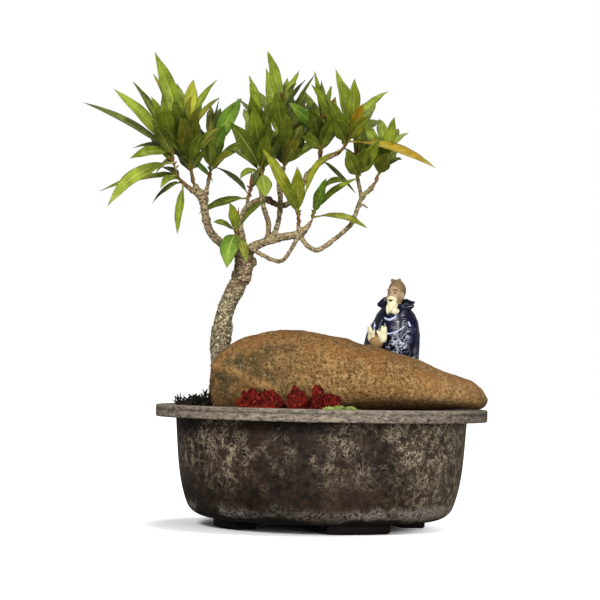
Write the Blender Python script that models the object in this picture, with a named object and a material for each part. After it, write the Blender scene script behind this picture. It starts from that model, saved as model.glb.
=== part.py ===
"""A willow-leaved ficus trained as a small bonsai, planted behind a sandstone rock in a round
training pot, with red lava stones and a glazed clay figure. Metres, Z up, the front towards -Y.

Places on the plant are read in a front view, in millimetres: x to the right and z up from the
floor as the eye sees them, with the depth behind the pot's middle given beside them."""

import math

import bmesh
import bpy
from mathutils import Matrix, Vector, noise

MM = 0.001
GAP = 0.3 * MM
TURN = 2 * math.pi

# The front view
EYE = Vector((-14.6, -1300.0, 94.0)) * MM
VIEW_X = 2.0
VIEW_LINE = Vector((0.0, 1.0, 0.0))
UP = Vector((0.0, 0.0, 1.0))

# Pot
POT_HEIGHT = 73.6 * MM
RIM_RADIUS = 101.6 * MM
LIP_DROP = 7.4 * MM
LIP_WALL = 2.8 * MM
FLANGE_WALL = 2.8 * MM
NECK_RADIUS = 89.5 * MM
BODY_CURVE = ((68.0, 5.5), (74.5, 7.0), (80.0, 11.0), (83.0, 18.0), (85.5, 28.0), (87.4, 42.0))
WALL = 3.4 * MM
FLOOR_TOP = 9.5 * MM
POT_SIDES = 40
FOOT_HEIGHT = 5.5 * MM
FOOT_RADII = (49.0 * MM, 65.0 * MM)
FOOT_HALF_ANGLE = math.radians(18)
FOOT_TURN = math.radians(21.5)
DRAIN_RADIUS = 6.0 * MM
DRAIN_RING = 36.0 * MM
CORNER_ROUND = 1.2 * MM
FLOOR_CORNER = 7.0 * MM
THROUGH = 3.0 * MM

# Soil
SOIL_LEVEL = 70.0 * MM
SEAT_GAP = 2 * GAP
SOIL_RINGS = (14.0, 30.0, 46.0, 60.0, 72.0)
SOIL_RELIEF = ((1.6 * MM, 45.0, 3.0), (0.8 * MM, 120.0, 7.0))
SOIL_DISH = 0.2

# Rock, its skyline and underside in the front view
ROCK_TOP = (
    (-71.0, 90.0), (-69.5, 100.0), (-64.0, 107.5), (-57.0, 112.0), (-50.0, 116.0), (-40.0, 119.0),
    (-28.0, 121.0), (-15.0, 120.0), (0.0, 118.0), (12.0, 116.0), (18.0, 113.8), (22.0, 112.0),
    (30.0, 112.0), (40.0, 109.0), (50.0, 106.0), (60.0, 102.0), (70.0, 98.0), (80.0, 95.5),
    (90.0, 92.0), (96.0, 87.0), (100.0, 81.0),
)
ROCK_FOOT = ((-71.0, 66.5), (100.0, 74.8))
ROCK_DEPTH = -14.0
ROCK_HALF_DEPTH = 36.0
ROCK_STATIONS = 22
ROCK_SIDES = 16
ROCK_SQUARENESS = 2.5
ROCK_LEDGE = ((-72.0, 98.0), (-55.0, 93.0), (-45.0, 87.5), (-28.0, 82.0))
ROCK_LEDGE_STEP = 6.0
ROCK_LEDGE_EASE = 4.0
ROCK_LEDGE_FADE = 14.0
ROCK_END = 0.9
ROCK_TAPER = 2.6
ROCK_BATTER = 0.12
ROCK_BUMPS = ((1.5, 0.045), (0.7, 0.13))

STONE_BUMP = 0.28
# Lava stones: x, depth, z of the middle, half width, half height
STONES = (
    (-46.0, -61.0, 74.6, 7.3, 8.0),
    (-31.6, -66.5, 74.0, 6.7, 8.0),
    (-17.0, -70.0, 75.2, 6.0, 9.2),
    (-5.0, -66.5, 75.0, 5.4, 9.4),
    (5.2, -71.5, 73.8, 5.2, 7.6),
)

# Glazed figure: its place in the front view, its height and how far it is turned to the left
FIGURE_PLACE = (42.5, 40.0)
FIGURE_FOOT = 68.5
FIGURE_TURN = math.radians(-30)
ROBE_RINGS = (
    (0.0, 13.5, 11.0), (2.0, 15.2, 12.6), (12.0, 15.6, 13.0), (26.0, 15.0, 12.4), (40.0, 15.4, 12.2),
    (52.0, 16.2, 12.0), (60.0, 15.0, 11.0), (65.0, 12.6, 9.6), (68.5, 9.6, 7.4), (71.0, 6.0, 5.5),
)
ROBE_SIDES = 14
# The figure's rounded parts in its own millimetres, its face towards -Y: centre, radii and facets
FIGURE_ROUNDS = (
    ("hand_left", (-7.0, -16.3, 47.6), (2.6, 2.6, 2.6), 8, 6),
    ("hand_right", (1.0, -16.3, 47.6), (2.6, 2.6, 2.6), 8, 6),
    ("fruit", (-3.0, -18.0, 51.0), (4.2, 4.2, 4.4), 10, 7),
    ("head", (0.0, -2.5, 75.5), (5.4, 6.0, 7.8), 12, 9),
    ("hair", (0.0, -0.6, 78.2), (6.0, 6.3, 6.4), 12, 8),
    ("topknot", (0.0, 0.4, 84.6), (2.9, 2.9, 2.4), 8, 6),
    ("nose", (0.0, -8.5, 75.0), (0.9, 1.1, 1.7), 6, 5),
)
# Its sleeves and beard: points with their radii
FIGURE_TUBES = {
    "sleeve_left": ((-12.5, 0, 60, 4.0), (-15.0, -4, 52, 5.6), (-11.5, -10, 44, 6.0), (-8.5, -15, 46, 5.2)),
    "sleeve_right": ((12.5, 0, 60, 4.0), (15.0, -4, 52, 5.6), (11.5, -10, 44, 6.0), (2.5, -15, 46, 5.2)),
    "beard": ((0, -6.0, 71.5, 3.9), (0, -9.4, 66.0, 3.7), (0, -11.8, 60.0, 2.6), (0, -12.6, 54.5, 0.9)),
}
FIGURE_TUBE_SIDES = 8

# Trunk and branches: x, depth, z and radius of each point
TRUNK = (
    (-66.5, 30, 52, 4.6), (-66.0, 30, 62, 7.4), (-66.0, 30, 70, 8.6), (-65.5, 30, 77, 7.2),
    (-65.0, 30, 88, 6.2), (-65.0, 30, 100, 6.1), (-65.0, 30, 111, 6.9), (-64.0, 30, 120, 6.9),
    (-63.0, 30, 128, 5.8), (-60.0, 30, 138, 5.8), (-56.5, 30, 145, 6.0), (-54.7, 30, 149, 5.5),
    (-53.2, 30, 152, 6.9), (-52.0, 30, 157, 6.1), (-51.3, 30, 162, 6.4), (-52.0, 30, 167, 6.0),
    (-53.5, 30, 171, 4.4), (-54.5, 30, 174, 2.4),
)
LIMBS = {
    "left": (
        (-53, 30, 165, 4.0), (-57, 29, 168.5, 3.6), (-66, 26, 173, 2.9), (-73, 22, 180.5, 2.8),
        (-76, 20, 190, 2.7), (-77, 19, 197, 2.8), (-80, 18, 203, 2.6), (-83, 18, 209, 2.0),
    ),
    "left_low": ((-79, 18, 201, 2.0), (-84, 15, 205, 1.8), (-88, 12, 208, 1.6)),
    "left_back": ((-77.5, 19, 199, 2.0), (-75.5, 25, 206, 1.6), (-74, 29, 213.5, 1.4)),
    "behind": (
        (-51, 30, 167, 3.4), (-52, 33, 173, 2.5), (-54, 36, 182, 2.1), (-54, 37, 188, 2.0),
        (-50, 38, 196, 2.1), (-43, 38, 200, 2.0), (-38, 38, 200, 2.0), (-30, 37, 197, 2.0),
        (-24, 36, 199, 2.0), (-18, 34, 207, 2.0), (-14, 33, 215, 1.9), (-9, 32, 221, 1.8),
        (-7, 32, 225, 1.5),
    ),
    "behind_fork": ((-12.5, 33, 217.5, 1.7), (-4, 28, 225, 1.5), (3.5, 25, 229.2, 1.4)),
    "behind_spur": ((-50, 38, 195.5, 1.6), (-50, 40, 200, 1.2)),
    "middle": (
        (-50, 30, 166.5, 4.2), (-46, 28, 171, 3.2), (-40, 26, 174, 2.8), (-30, 24, 177, 2.8),
        (-20, 23, 179, 2.7), (-16, 22, 181, 2.3), (-13, 22, 184, 1.8), (-11, 22, 187, 1.5),
    ),
    "middle_left": (
        (-38, 25.5, 174.5, 2.0), (-37, 24, 180, 1.9), (-37, 22, 186, 1.8), (-39, 20, 192, 1.8),
        (-41, 19, 199, 1.8), (-42, 18, 208, 1.7), (-42, 17, 215, 1.6),
    ),
    "middle_right": (
        (-34, 25, 176, 2.0), (-33, 26, 180, 1.9), (-31, 28, 186, 1.8), (-30, 29, 195, 1.8),
        (-30, 30, 203, 1.8), (-31, 30, 211, 1.8), (-28, 30, 221, 1.6),
    ),
    "front": (
        (-50, 29, 167, 2.2), (-46, 21, 169, 1.7), (-40, 17, 166, 1.5), (-33, 15, 163, 1.5),
        (-28, 15, 163, 1.5), (-24, 16, 168, 1.5), (-20, 19, 175, 1.5), (-17, 22, 180, 1.6),
    ),
    "right": (
        (-17, 22, 180, 1.8), (-15, 20, 175, 1.7), (-12, 18, 172, 1.7), (-8, 18, 170, 1.6),
        (-4, 18, 171, 1.6), (4, 19, 177, 1.6), (12, 20, 184, 1.6), (15, 20, 188, 1.6),
        (17, 20, 194, 1.6), (19, 20, 200, 1.6), (21, 20, 204.5, 1.6), (25, 20, 207.5, 1.5),
        (28, 20, 212, 1.4),
    ),
    "right_low": ((20, 20, 203, 1.5), (19, 24, 208, 1.4), (18, 28, 212, 1.3)),
    "hook": ((18.2, 20, 196.5, 0.9), (21, 19, 198.5, 0.8), (24, 18.5, 196.2, 0.6)),
    "low": ((-18.5, 22.7, 179, 1.5), (-18.5, 20, 184.5, 1.3)),
    "top": ((-54, 28, 169, 2.0), (-55.5, 24.5, 174, 1.6), (-56, 23, 177, 1.4)),
    "knob": ((-54, 30, 165.5, 3.0), (-60.5, 27, 169, 2.6)),
}
TRUNK_SIDES = 10
TRUNK_GNARL = 0.16
STEM_IN_HOLE = 6
LIMB_SIDES = 7
LIMB_GNARL = 0.12
SHOOT_SIDES = 6
SHOOT_START = 2.0 * MM
BURL = (-47.0, 28.5, 161.5, 3.6)
ROOTS = ((335, 1.0), (35, 0.8), (95, 0.5), (215, 0.6), (275, 0.85))
ROOT_STEPS = ((2.0, 4.0, 4.6), (9.0, 0.5, 3.6), (16.0, -5.0, 2.6), (22.0, -15.0, 1.8), (25.0, -27.0, 1.0))

# Leaf form
PETIOLE_SHARE = 0.10
PETIOLE_RADIUS = 0.75 * MM
LEAF_STATIONS = (0.0, 0.12, 0.34, 0.60, 0.84)
LEAF_HALF_THICKNESS = 0.56 * MM
LEAF_FOLD = 0.24
SLIM = 0.165
NARROWEST = 6.2
BROADEST = 10.4

# Each shoot: the limb it grows from, its points (x, depth, z, radius), then its leaves. A leaf is
# its foot x, z and its tip x, z in the front view, the width seen (negative where the underside
# shows), its real length (negative where it points to the front) and how far it arches up.
SHOOTS = {
    "spray_left_outer": (
        "left_low",
        ((-93, 10, 213, 1.5), (-96, 9, 221, 1.3), (-97, 9, 230, 1.0), (-98, 9, 239, 0.3)),
        (
            (-97, 228, -155, 259, 4.6, 66, 2.4), (-97, 229, -134, 267, 7.0, -56, 1.5),
            (-97, 231, -122, 272, 5.0, 52, 1.0), (-97, 230, -111, 263, 6.0, -42, 1.0),
            (-96, 228, -123, 224, 6.0, -40, 3.0), (-97, 229, -122, 231, 4.0, 38, 2.5),
            (-96, 222, -136, 195, 8.0, -52, 6.0), (-94, 214, -141, 204, 4.0, 51, 2.6),
            (-93, 212, -115, 212, 3.5, 34, 2.0), (-91, 210, -104, 207, 4.0, -26, 3.5),
            (-91, 210, -109, 197, 3.5, 32, 2.0), (-90, 209, -93, 178, 5.0, -38, 1.0),
            (-97, 232, -104, 266, 7.0, 52, 1.0), (-96, 220, -112, 240, 7.0, 48, 1.5),
            (-97, 232, -104, 260, 9.0, -46, 1.0), (-96, 225, -110, 248, 8.0, -44, 1.0),
        ),
    ),
    "spray_left_main": (
        "left",
        (
            (-85, 17, 216, 1.8), (-87, 16, 225, 1.5), (-89, 16, 235, 1.3), (-90, 16, 243, 1.0),
            (-89.5, 16, 251, 0.3),
        ),
        (
            (-88, 235, -110, 277, 5.0, 50, 1.0), (-89, 236, -109, 290, 10.0, -60, 1.0),
            (-89, 240, -85, 274, 9.0, 40, 0.5), (-89.5, 243, -86, 264, 4.0, -24, 0.5),
            (-88, 240, -71, 274, 5.0, 44, 2.0), (-88, 238, -69, 263, 4.0, -40, 1.5),
            (-87, 222, -92, 250, 10.0, -50, 2.0), (-87, 225, -68, 245, -6.0, -38, 1.0),
            (-89, 238, -95, 272, 7.0, 52, 1.0), (-88, 232, -80, 262, 8.0, 52, 1.5),
            (-86, 219, -80, 240, 7.0, -44, 2.0), (-88, 233, -97, 262, 9.0, -52, 1.0),
            (-87, 228, -83, 256, 9.0, -50, 1.0), (-88, 234, -100, 266, 7.0, 54, 1.0),
        ),
    ),
    "spray_left_inner": (
        "left_back",
        ((-73.5, 30, 221, 1.3), (-73, 31, 229, 1.1), (-74, 31, 237, 0.9), (-74.5, 31, 244, 0.3)),
        (
            (-74, 235, -74, 258, 6.0, 32, 0.5), (-73, 229, -55, 263, 10.0, 46, 2.0),
            (-73.5, 219, -75, 236, -9.0, -32, 1.0), (-73, 220, -42, 239, 6.0, 45, 2.0),
            (-73, 224, -86, 248, 7.0, 48, 1.0), (-73, 227, -64, 250, 7.0, 50, 1.0),
            (-73, 223, -65, 246, 8.0, -40, 1.0), (-74, 232, -68, 257, 7.0, 42, 1.0),
        ),
    ),
    "spray_fork": (
        "behind_spur",
        ((-49, 42, 204, 1.0), (-48.5, 43, 210, 0.3)),
        (
            (-49.8, 201, -80, 191, 5.0, 36, 2.5), (-49.3, 203, -70, 220, 3.5, 34, 2.0),
            (-49, 205, -40, 222, 6.0, 38, 1.0),
        ),
    ),
    "spray_centre_left": (
        "middle_left",
        (
            (-42.5, 16, 222, 1.5), (-43, 15, 232, 1.3), (-43, 15, 242, 1.1), (-42, 15, 250, 0.8),
            (-41.5, 15, 257, 0.3),
        ),
        (
            (-42.5, 246, -50.5, 277, 5.0, 38, 1.0), (-43, 240, -50, 271.5, 6.0, -38, 1.0),
            (-43, 244, -58, 263, 3.5, 34, 1.5), (-43, 226, -48, 258, 10.0, -46, 1.0),
            (-42.5, 219, -62, 248, 10.0, -44, 1.5), (-42, 217, -64, 232, 3.5, 36, 2.0),
            (-42, 217, -55, 213, 4.0, -22, 3.0), (-42, 217, -39, 201, -9.0, -36, 2.0),
            (-43, 236, -36, 262, 7.0, -46, 1.0), (-43, 230, -60, 243, 7.0, 44, 1.5),
            (-43, 239, -50, 264, 8.0, -44, 1.0), (-42.5, 224, -37, 250, 8.0, -44, 1.0),
            (-43, 234, -54, 257, 7.0, 46, 1.0),
        ),
    ),
    "spray_centre_main": (
        "middle_right",
        (
            (-28.5, 31, 230, 1.5), (-29.5, 31, 242, 1.3), (-30, 31, 252, 1.1), (-30, 31, 260, 0.8),
            (-30, 31, 267, 0.3),
        ),
        (
            (-30, 256, -39.5, 293, 6.5, 42, 1.0), (-29, 232, -40.5, 281.5, 9.0, -54, 1.0),
            (-30, 255, -20, 281, 4.5, 32, 0.5), (-28.5, 225, -17, 247, -8.0, -38, 1.5),
            (-28.5, 228, -13, 243, 6.0, 36, 1.5), (-30, 252, -16, 275, 3.5, 38, 1.5),
            (-30, 256, -22, 273, 3.5, -26, 1.0), (-29.5, 241, -45, 268, 7.0, 50, 1.0),
            (-29.5, 244, -23, 264, 7.0, 48, 1.0), (-29, 236, -14, 260, 8.0, 50, 1.5),
            (-28.5, 226, -40, 246, 7.0, 46, 1.0), (-28.5, 228, -27, 254, 9.0, -46, 1.0),
            (-29.5, 240, -34, 267, 9.0, -44, 1.5), (-30, 250, -27, 276, 7.0, 40, 1.0),
            (-28.5, 224, -22, 240, 8.0, -34, 1.0),
        ),
    ),
    "spray_centre_right": (
        "behind",
        ((-5.5, 31, 232, 1.4), (-4.5, 30, 240, 1.2), (-4, 30, 247, 1.0), (-4, 30, 254, 0.3)),
        (
            (-5, 239, -26, 261, 8.0, -40, 1.5), (-4.5, 243, -10.5, 281, 4.0, 43, 1.0),
            (-4, 246, -6, 275, 4.0, 34, 0.5), (-4, 246, 0, 272, 4.0, 33, 0.5),
            (-4.5, 240, 3, 265, 7.0, 34, 1.0), (-5, 238, -16, 268, 7.0, 46, 1.0),
            (-5, 236, -13, 257, 9.0, -42, 1.0), (-5.5, 232, -16, 249, 8.0, 42, 1.0),
            (-6, 230, 3, 250, 8.0, 44, 1.0), (-5.5, 232, -17, 240, 7.0, -38, 1.0),
            (-6.5, 227, 17, 205, 3.0, 44, 0.5),
        ),
    ),
    "spray_low_left": (
        "low",
        ((-18.7, 19, 189, 1.1), (-18.5, 18, 194, 0.8), (-18, 18, 200, 0.3)),
        (
            (-18.7, 190, -42, 233, 7.0, -54, 1.5), (-18.5, 192, -20, 221, 8.0, -38, 0.5),
            (-18.5, 193, -28, 209, 6.0, -32, 1.0),
        ),
    ),
    "spray_low_right": (
        "middle",
        ((-9.5, 22, 191, 1.2), (-8.5, 22, 196, 0.9), (-8, 22, 202, 0.3)),
        (
            (-9.3, 191, -2, 214, 6.0, -34, 1.0), (-9, 193, 18, 215, 4.0, -36, 2.8),
            (-8.5, 196, 12, 212, 3.0, -36, 8.0), (-9.5, 190, 24, 184, 4.0, -40, 3.6),
        ),
    ),
    "spray_trunk_top": (
        "top",
        ((-56.3, 21.5, 181, 1.1), (-56, 20.5, 187, 0.3)),
        (
            (-56.2, 179.5, -61, 198, 6.0, -26, 1.0), (-56.2, 181, -39, 200, 3.5, -34, 2.0),
            (-56.2, 180, -71, 186, 3.5, -26, 1.5), (-56.3, 179.5, -62, 158, 11.0, -26, 4.0),
            (-56, 178, -50, 161, 5.5, -26, 2.0),
        ),
    ),
    "spray_right_inner": (
        "behind_fork",
        (
            (8, 23, 233, 1.3), (12, 22, 239, 1.2), (14, 22, 246, 1.1), (15, 22, 254, 0.8),
            (15.5, 22, 261, 0.3),
        ),
        (
            (8, 235, -12, 272, 8.0, -50, 3.0), (13, 242, 3, 282, 6.5, -46, 1.0),
            (14, 245, 14.5, 276, 8.0, -42, 0.5), (13, 241, 20, 261, 7.0, -36, 1.0),
            (14.5, 247, 35.5, 269.5, 5.0, 40, 2.0), (11, 237, 65, 222, 6.0, -67, 3.8),
            (9, 236, -4, 266, -6.0, -44, 2.0), (6, 233, -15, 204, 4.0, -46, 6.0),
            (8, 234, 18, 212, 3.0, 30, 4.0), (13, 241, 26, 262, 7.0, 50, 1.0),
            (14, 247, 8, 274, 7.0, 46, 1.0), (12, 239, 32, 251, 7.0, 48, 2.0),
            (10, 236, 0, 257, 7.0, 48, 1.0), (9, 236, 1, 262, 8.0, -44, 1.0),
            (11, 237, 23, 253, 8.0, -38, 1.0), (13, 243, 28, 262, 8.0, 44, 1.0),
        ),
    ),
    "spray_right_low": (
        "right_low",
        ((17, 31, 217, 1.2), (17, 33, 223, 0.9), (17, 34, 229, 0.3)),
        (
            (17.5, 215, 10, 231, 9.0, -38, 1.0), (17, 217, 22, 233, 9.0, -36, 1.0),
            (17, 218, 26, 236, 6.0, 34, 1.0), (17, 224, 20, 248, 8.0, 34, 1.0),
            (17, 221, 27, 246, 8.0, 40, 1.0),
        ),
    ),
    "spray_right_outer": (
        "right",
        (
            (29.5, 21, 216, 1.3), (33, 22, 222, 1.2), (35, 22, 229, 1.0), (36, 22, 235, 0.8),
            (36.5, 22, 241, 0.3),
        ),
        (
            (34, 226, 39.5, 253, 7.0, -34, 1.0), (36, 231, 48.5, 244, 4.0, 30, 1.5),
            (33, 223, 20, 250, 7.0, -31, 1.5), (30, 217, 36, 231, 9.0, -36, 1.0),
            (33, 222, 44, 228, 4.0, 26, 2.0), (34.5, 227, 42, 246, 7.0, 46, 1.0),
            (31, 219, 42, 235, 7.0, 40, 1.5), (35, 231, 30, 252, 7.0, 36, 1.0),
            (34, 224, 26, 242, 8.0, 38, 1.0),
        ),
    ),
}


def clear_scene():
    """Removes whatever the scene holds."""
    for thing in list(bpy.data.objects):
        bpy.data.objects.remove(thing, do_unlink=True)


def finish(name, colour, roughness):
    """A plain material."""
    material = bpy.data.materials.new(name)
    material.use_nodes = True
    shader = material.node_tree.nodes["Principled BSDF"]
    shader.inputs["Base Color"].default_value = (*colour, 1.0)
    shader.inputs["Roughness"].default_value = roughness
    shader.inputs["Metallic"].default_value = 0.0
    return material


def spot(x, depth, z):
    """The real place of a point seen at x, z in the front view, at that depth."""
    spread = 1 - depth * MM / EYE.y
    seen_x = (x + VIEW_X) * MM
    return Vector((EYE.x + (seen_x - EYE.x) * spread, depth * MM, EYE.z + (z * MM - EYE.z) * spread))


def read_off(outline, x):
    """The height of an outline at x, between its points."""
    for (x0, z0), (x1, z1) in zip(outline, outline[1:]):
        if x <= x1:
            share = max(0.0, (x - x0) / (x1 - x0))
            return z0 + (z1 - z0) * share
    return outline[-1][1]


def bridge(shape, low, high):
    """Side faces between two rings of the same count."""
    count = len(low)
    for i in range(count):
        j = (i + 1) % count
        shape.faces.new((low[i], low[j], high[j], high[i]))


def fan(shape, ring, point):
    """Faces from a ring to one point."""
    for i, vertex in enumerate(ring):
        shape.faces.new((vertex, ring[(i + 1) % len(ring)], point))


def as_object(name, shape):
    """A linked object from a bmesh, with its faces turned out."""
    bmesh.ops.recalc_face_normals(shape, faces=shape.faces)
    mesh = bpy.data.meshes.new(name)
    shape.to_mesh(mesh)
    shape.free()
    thing = bpy.data.objects.new(name, mesh)
    bpy.context.scene.collection.objects.link(thing)
    return thing


def boolean(name, first, others, operation):
    """One mesh from a first object and a collection of others, which are then removed."""
    group = bpy.data.collections.new(name + "_tools")
    bpy.context.scene.collection.children.link(group)
    for other in others:
        bpy.context.scene.collection.objects.unlink(other)
        group.objects.link(other)
    modifier = first.modifiers.new(operation.lower(), "BOOLEAN")
    modifier.operation = operation
    modifier.operand_type = "COLLECTION"
    modifier.collection = group
    modifier.solver = "EXACT"
    graph = bpy.context.evaluated_depsgraph_get()
    mesh = bpy.data.meshes.new_from_object(first.evaluated_get(graph))
    for thing in [first, *others]:
        bpy.data.objects.remove(thing, do_unlink=True)
    bpy.data.collections.remove(group)
    mesh.name = name
    made = bpy.data.objects.new(name, mesh)
    bpy.context.scene.collection.objects.link(made)
    return made


def dress(thing, material, sharp_angle=50):
    """Gives an object its material and smooth shading with the sharp edges kept."""
    thing.data.materials.clear()
    thing.data.materials.append(material)
    thing.data.shade_smooth()
    thing.data.set_sharp_from_angle(angle=math.radians(sharp_angle))
    return thing


def turned(name, profile, sides):
    """A solid turned about Z from (radius, height) points that start and end on the axis."""
    shape = bmesh.new()
    first = shape.verts.new((0.0, 0.0, profile[0][1]))
    last = shape.verts.new((0.0, 0.0, profile[-1][1]))
    angles = [TURN * i / sides for i in range(sides)]
    rings = [
        [shape.verts.new((r * math.cos(a), r * math.sin(a), z)) for a in angles]
        for r, z in profile[1:-1]
    ]
    for low, high in zip(rings, rings[1:]):
        bridge(shape, low, high)
    fan(shape, rings[0], first)
    fan(shape, rings[-1], last)
    return as_object(name, shape)


def tube(name, points, radii, sides, gnarl=0.0):
    """A closed tube through the points, with flat ends square to it."""
    shape = bmesh.new()
    across = (points[1] - points[0]).orthogonal()
    rings = []
    for i, (centre, radius) in enumerate(zip(points, radii)):
        ahead = (points[min(i + 1, len(points) - 1)] - points[max(i - 1, 0)]).normalized()
        across = (across - ahead * across.dot(ahead)).normalized()
        upward = ahead.cross(across)
        ring = []
        for k in range(sides):
            angle = TURN * k / sides
            out = across * math.cos(angle) + upward * math.sin(angle)
            bump = 1 + gnarl * noise.noise(centre * 160 + out * 1.3)
            ring.append(shape.verts.new(centre + out * radius * bump))
        rings.append(ring)
    for low, high in zip(rings, rings[1:]):
        bridge(shape, low, high)
    shape.faces.new(rings[0])
    shape.faces.new(rings[-1])
    return as_object(name, shape)


def ball(name, centre, radii, around=12, rows=8):
    """A closed ellipsoid with its poles on Z."""
    shape = bmesh.new()
    place = Matrix.Translation(centre) @ Matrix.Diagonal((*radii, 1.0))
    bmesh.ops.create_uvsphere(shape, u_segments=around, v_segments=rows, radius=1.0, matrix=place)
    return as_object(name, shape)


def loft(name, rings, sides):
    """A closed body through level elliptical rings of (centre, half width, half depth)."""
    shape = bmesh.new()
    made = []
    for centre, wide, deep in rings:
        ring = []
        for k in range(sides):
            angle = TURN * k / sides
            ring.append(shape.verts.new(centre + Vector((wide * math.cos(angle), deep * math.sin(angle), 0))))
        made.append(ring)
    for low, high in zip(made, made[1:]):
        bridge(shape, low, high)
    shape.faces.new(made[0])
    shape.faces.new(made[-1])
    return as_object(name, shape)


def body_outline():
    """The pot's outer side, from the base to the neck under the flange."""
    return [(r * MM, z * MM) for r, z in BODY_CURVE] + [(NECK_RADIUS, POT_HEIGHT - FLANGE_WALL)]


def inner_outline(inset):
    """The inside of the pot's wall, from the floor to the mouth, moved in by the inset."""
    side = [(r - WALL - inset, z) for r, z in body_outline() if z > FLOOR_TOP]
    corner, mouth = (side[0][0] - FLOOR_CORNER, FLOOR_TOP + inset), (NECK_RADIUS - WALL - inset, POT_HEIGHT)
    return [corner, *side[:-1], mouth]


def foot_block(name, middle):
    """One wide foot: a slightly tapered arc of a ring under the base."""
    shape = bmesh.new()
    rings = []
    for z, shrink in ((0.0, CORNER_ROUND), (FOOT_HEIGHT + CORNER_ROUND, 0.0)):
        inner, outer = FOOT_RADII[0] + shrink, FOOT_RADII[1] - shrink
        arc = [middle + FOOT_HALF_ANGLE * k / 3 for k in range(-3, 4)]
        corners = [(outer, a) for a in arc] + [(inner, a) for a in reversed(arc)]
        rings.append([shape.verts.new((r * math.sin(a), -r * math.cos(a), z)) for r, a in corners])
    bridge(shape, rings[0], rings[1])
    shape.faces.new(rings[0])
    shape.faces.new(rings[1])
    return as_object(name, shape)


def make_pot():
    """The moulded pot: a hollow body, a flange with a turned-down lip, four feet and drain holes."""
    profile = [(0.0, FOOT_HEIGHT), *body_outline()]
    profile += [
        (RIM_RADIUS - LIP_WALL, POT_HEIGHT - FLANGE_WALL),
        (RIM_RADIUS - LIP_WALL, POT_HEIGHT - LIP_DROP),
        (RIM_RADIUS - CORNER_ROUND / 2, POT_HEIGHT - LIP_DROP),
        (RIM_RADIUS, POT_HEIGHT - LIP_DROP + CORNER_ROUND / 2),
        (RIM_RADIUS, POT_HEIGHT - CORNER_ROUND),
        (RIM_RADIUS - CORNER_ROUND, POT_HEIGHT),
    ]
    profile += list(reversed(inner_outline(0.0))) + [(0.0, FLOOR_TOP)]
    body = turned("pot_body", profile, POT_SIDES)
    feet = [foot_block(f"foot_{k}", FOOT_TURN + TURN * k / 4) for k in range(4)]
    body = boolean("pot_whole", body, feet, "UNION")
    drains = []
    for k in range(4):
        angle = FOOT_TURN + TURN * (k + 0.5) / 4
        middle = Vector((DRAIN_RING * math.sin(angle), -DRAIN_RING * math.cos(angle), 0.0))
        ends = [middle + UP * z for z in (FOOT_HEIGHT - THROUGH, FLOOR_TOP + THROUGH)]
        drains.append(tube(f"drain_{k}", ends, (DRAIN_RADIUS, DRAIN_RADIUS), 12))
    pot = boolean("pot", body, drains, "DIFFERENCE")
    return dress(pot, finish("brown_plastic", (0.055, 0.040, 0.030), 0.6), 35)


def seat_of(thing):
    """Swells a copy of a piece a little, to cut the hole that it stands in."""
    normals = [v.normal.copy() for v in thing.data.vertices]
    for v, normal in zip(thing.data.vertices, normals):
        v.co += normal * SEAT_GAP
    return thing


def soil_height(x, y):
    """The uneven top of the soil, a little lower at the wall."""
    relief = sum(high * noise.noise(Vector((x, y, seed)) * fine) for high, fine, seed in SOIL_RELIEF)
    return SOIL_LEVEL + relief - SOIL_DISH * (x * x + y * y)


def make_soil(cutters):
    """The filled mix: it follows the pot's inside with a gap, and what stands in it leaves a hole."""
    side = inner_outline(GAP)[:-1]
    wall_radius = side[-1][0] + 1.0 * MM
    shape = bmesh.new()
    rings = []
    angles = [TURN * i / POT_SIDES for i in range(POT_SIDES)]
    for radius, z in side:
        rings.append([shape.verts.new((radius * math.cos(a), radius * math.sin(a), z)) for a in angles])
    for radius in (wall_radius, *[r * MM for r in reversed(SOIL_RINGS)]):
        ring = []
        for a in angles:
            x, y = radius * math.cos(a), radius * math.sin(a)
            ring.append(shape.verts.new((x, y, soil_height(x, y))))
        rings.append(ring)
    for low, high in zip(rings, rings[1:]):
        bridge(shape, low, high)
    fan(shape, rings[0], shape.verts.new((0.0, 0.0, side[0][1])))
    fan(shape, rings[-1], shape.verts.new((0.0, 0.0, soil_height(0.0, 0.0))))
    soil = boolean("soil", as_object("soil_body", shape), cutters, "DIFFERENCE")
    return dress(soil, finish("soil_mix", (0.020, 0.014, 0.010), 0.95), 60)


def rock_point(x, angle):
    """A point of the rock's skin: a squared oval section between its skyline and its underside."""
    top, foot = read_off(ROCK_TOP, x), read_off(ROCK_FOOT, x)
    left, right = ROCK_TOP[0][0], ROCK_TOP[-1][0]
    along = 2 * (x - left) / (right - left) - 1
    deep = ROCK_HALF_DEPTH * math.sqrt(max(0.0, 1 - abs(along) ** ROCK_TAPER))
    power = 2 / ROCK_SQUARENESS
    c, s = math.cos(angle), math.sin(angle)
    out = math.copysign(abs(c) ** power, c)
    high = math.copysign(abs(s) ** power, s)
    middle = (top + foot) / 2
    depth = ROCK_DEPTH + deep * out * (1.0 - ROCK_BATTER * high)
    z = middle + (top - middle) * high
    ledge = read_off(ROCK_LEDGE, x)
    if x < ROCK_LEDGE[-1][0] and c < 0 and z < ledge:
        fade = min(1.0, (ROCK_LEDGE[-1][0] - x) / ROCK_LEDGE_FADE)
        depth += ROCK_LEDGE_STEP * min(1.0, (ledge - z) / ROCK_LEDGE_EASE) * fade
    place = Vector((x, depth, z))
    bump = sum(high_mm * noise.noise(place * fine) for high_mm, fine in ROCK_BUMPS)
    return spot(*(place + Vector((0, out, max(high, 0.0))) * bump))


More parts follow.
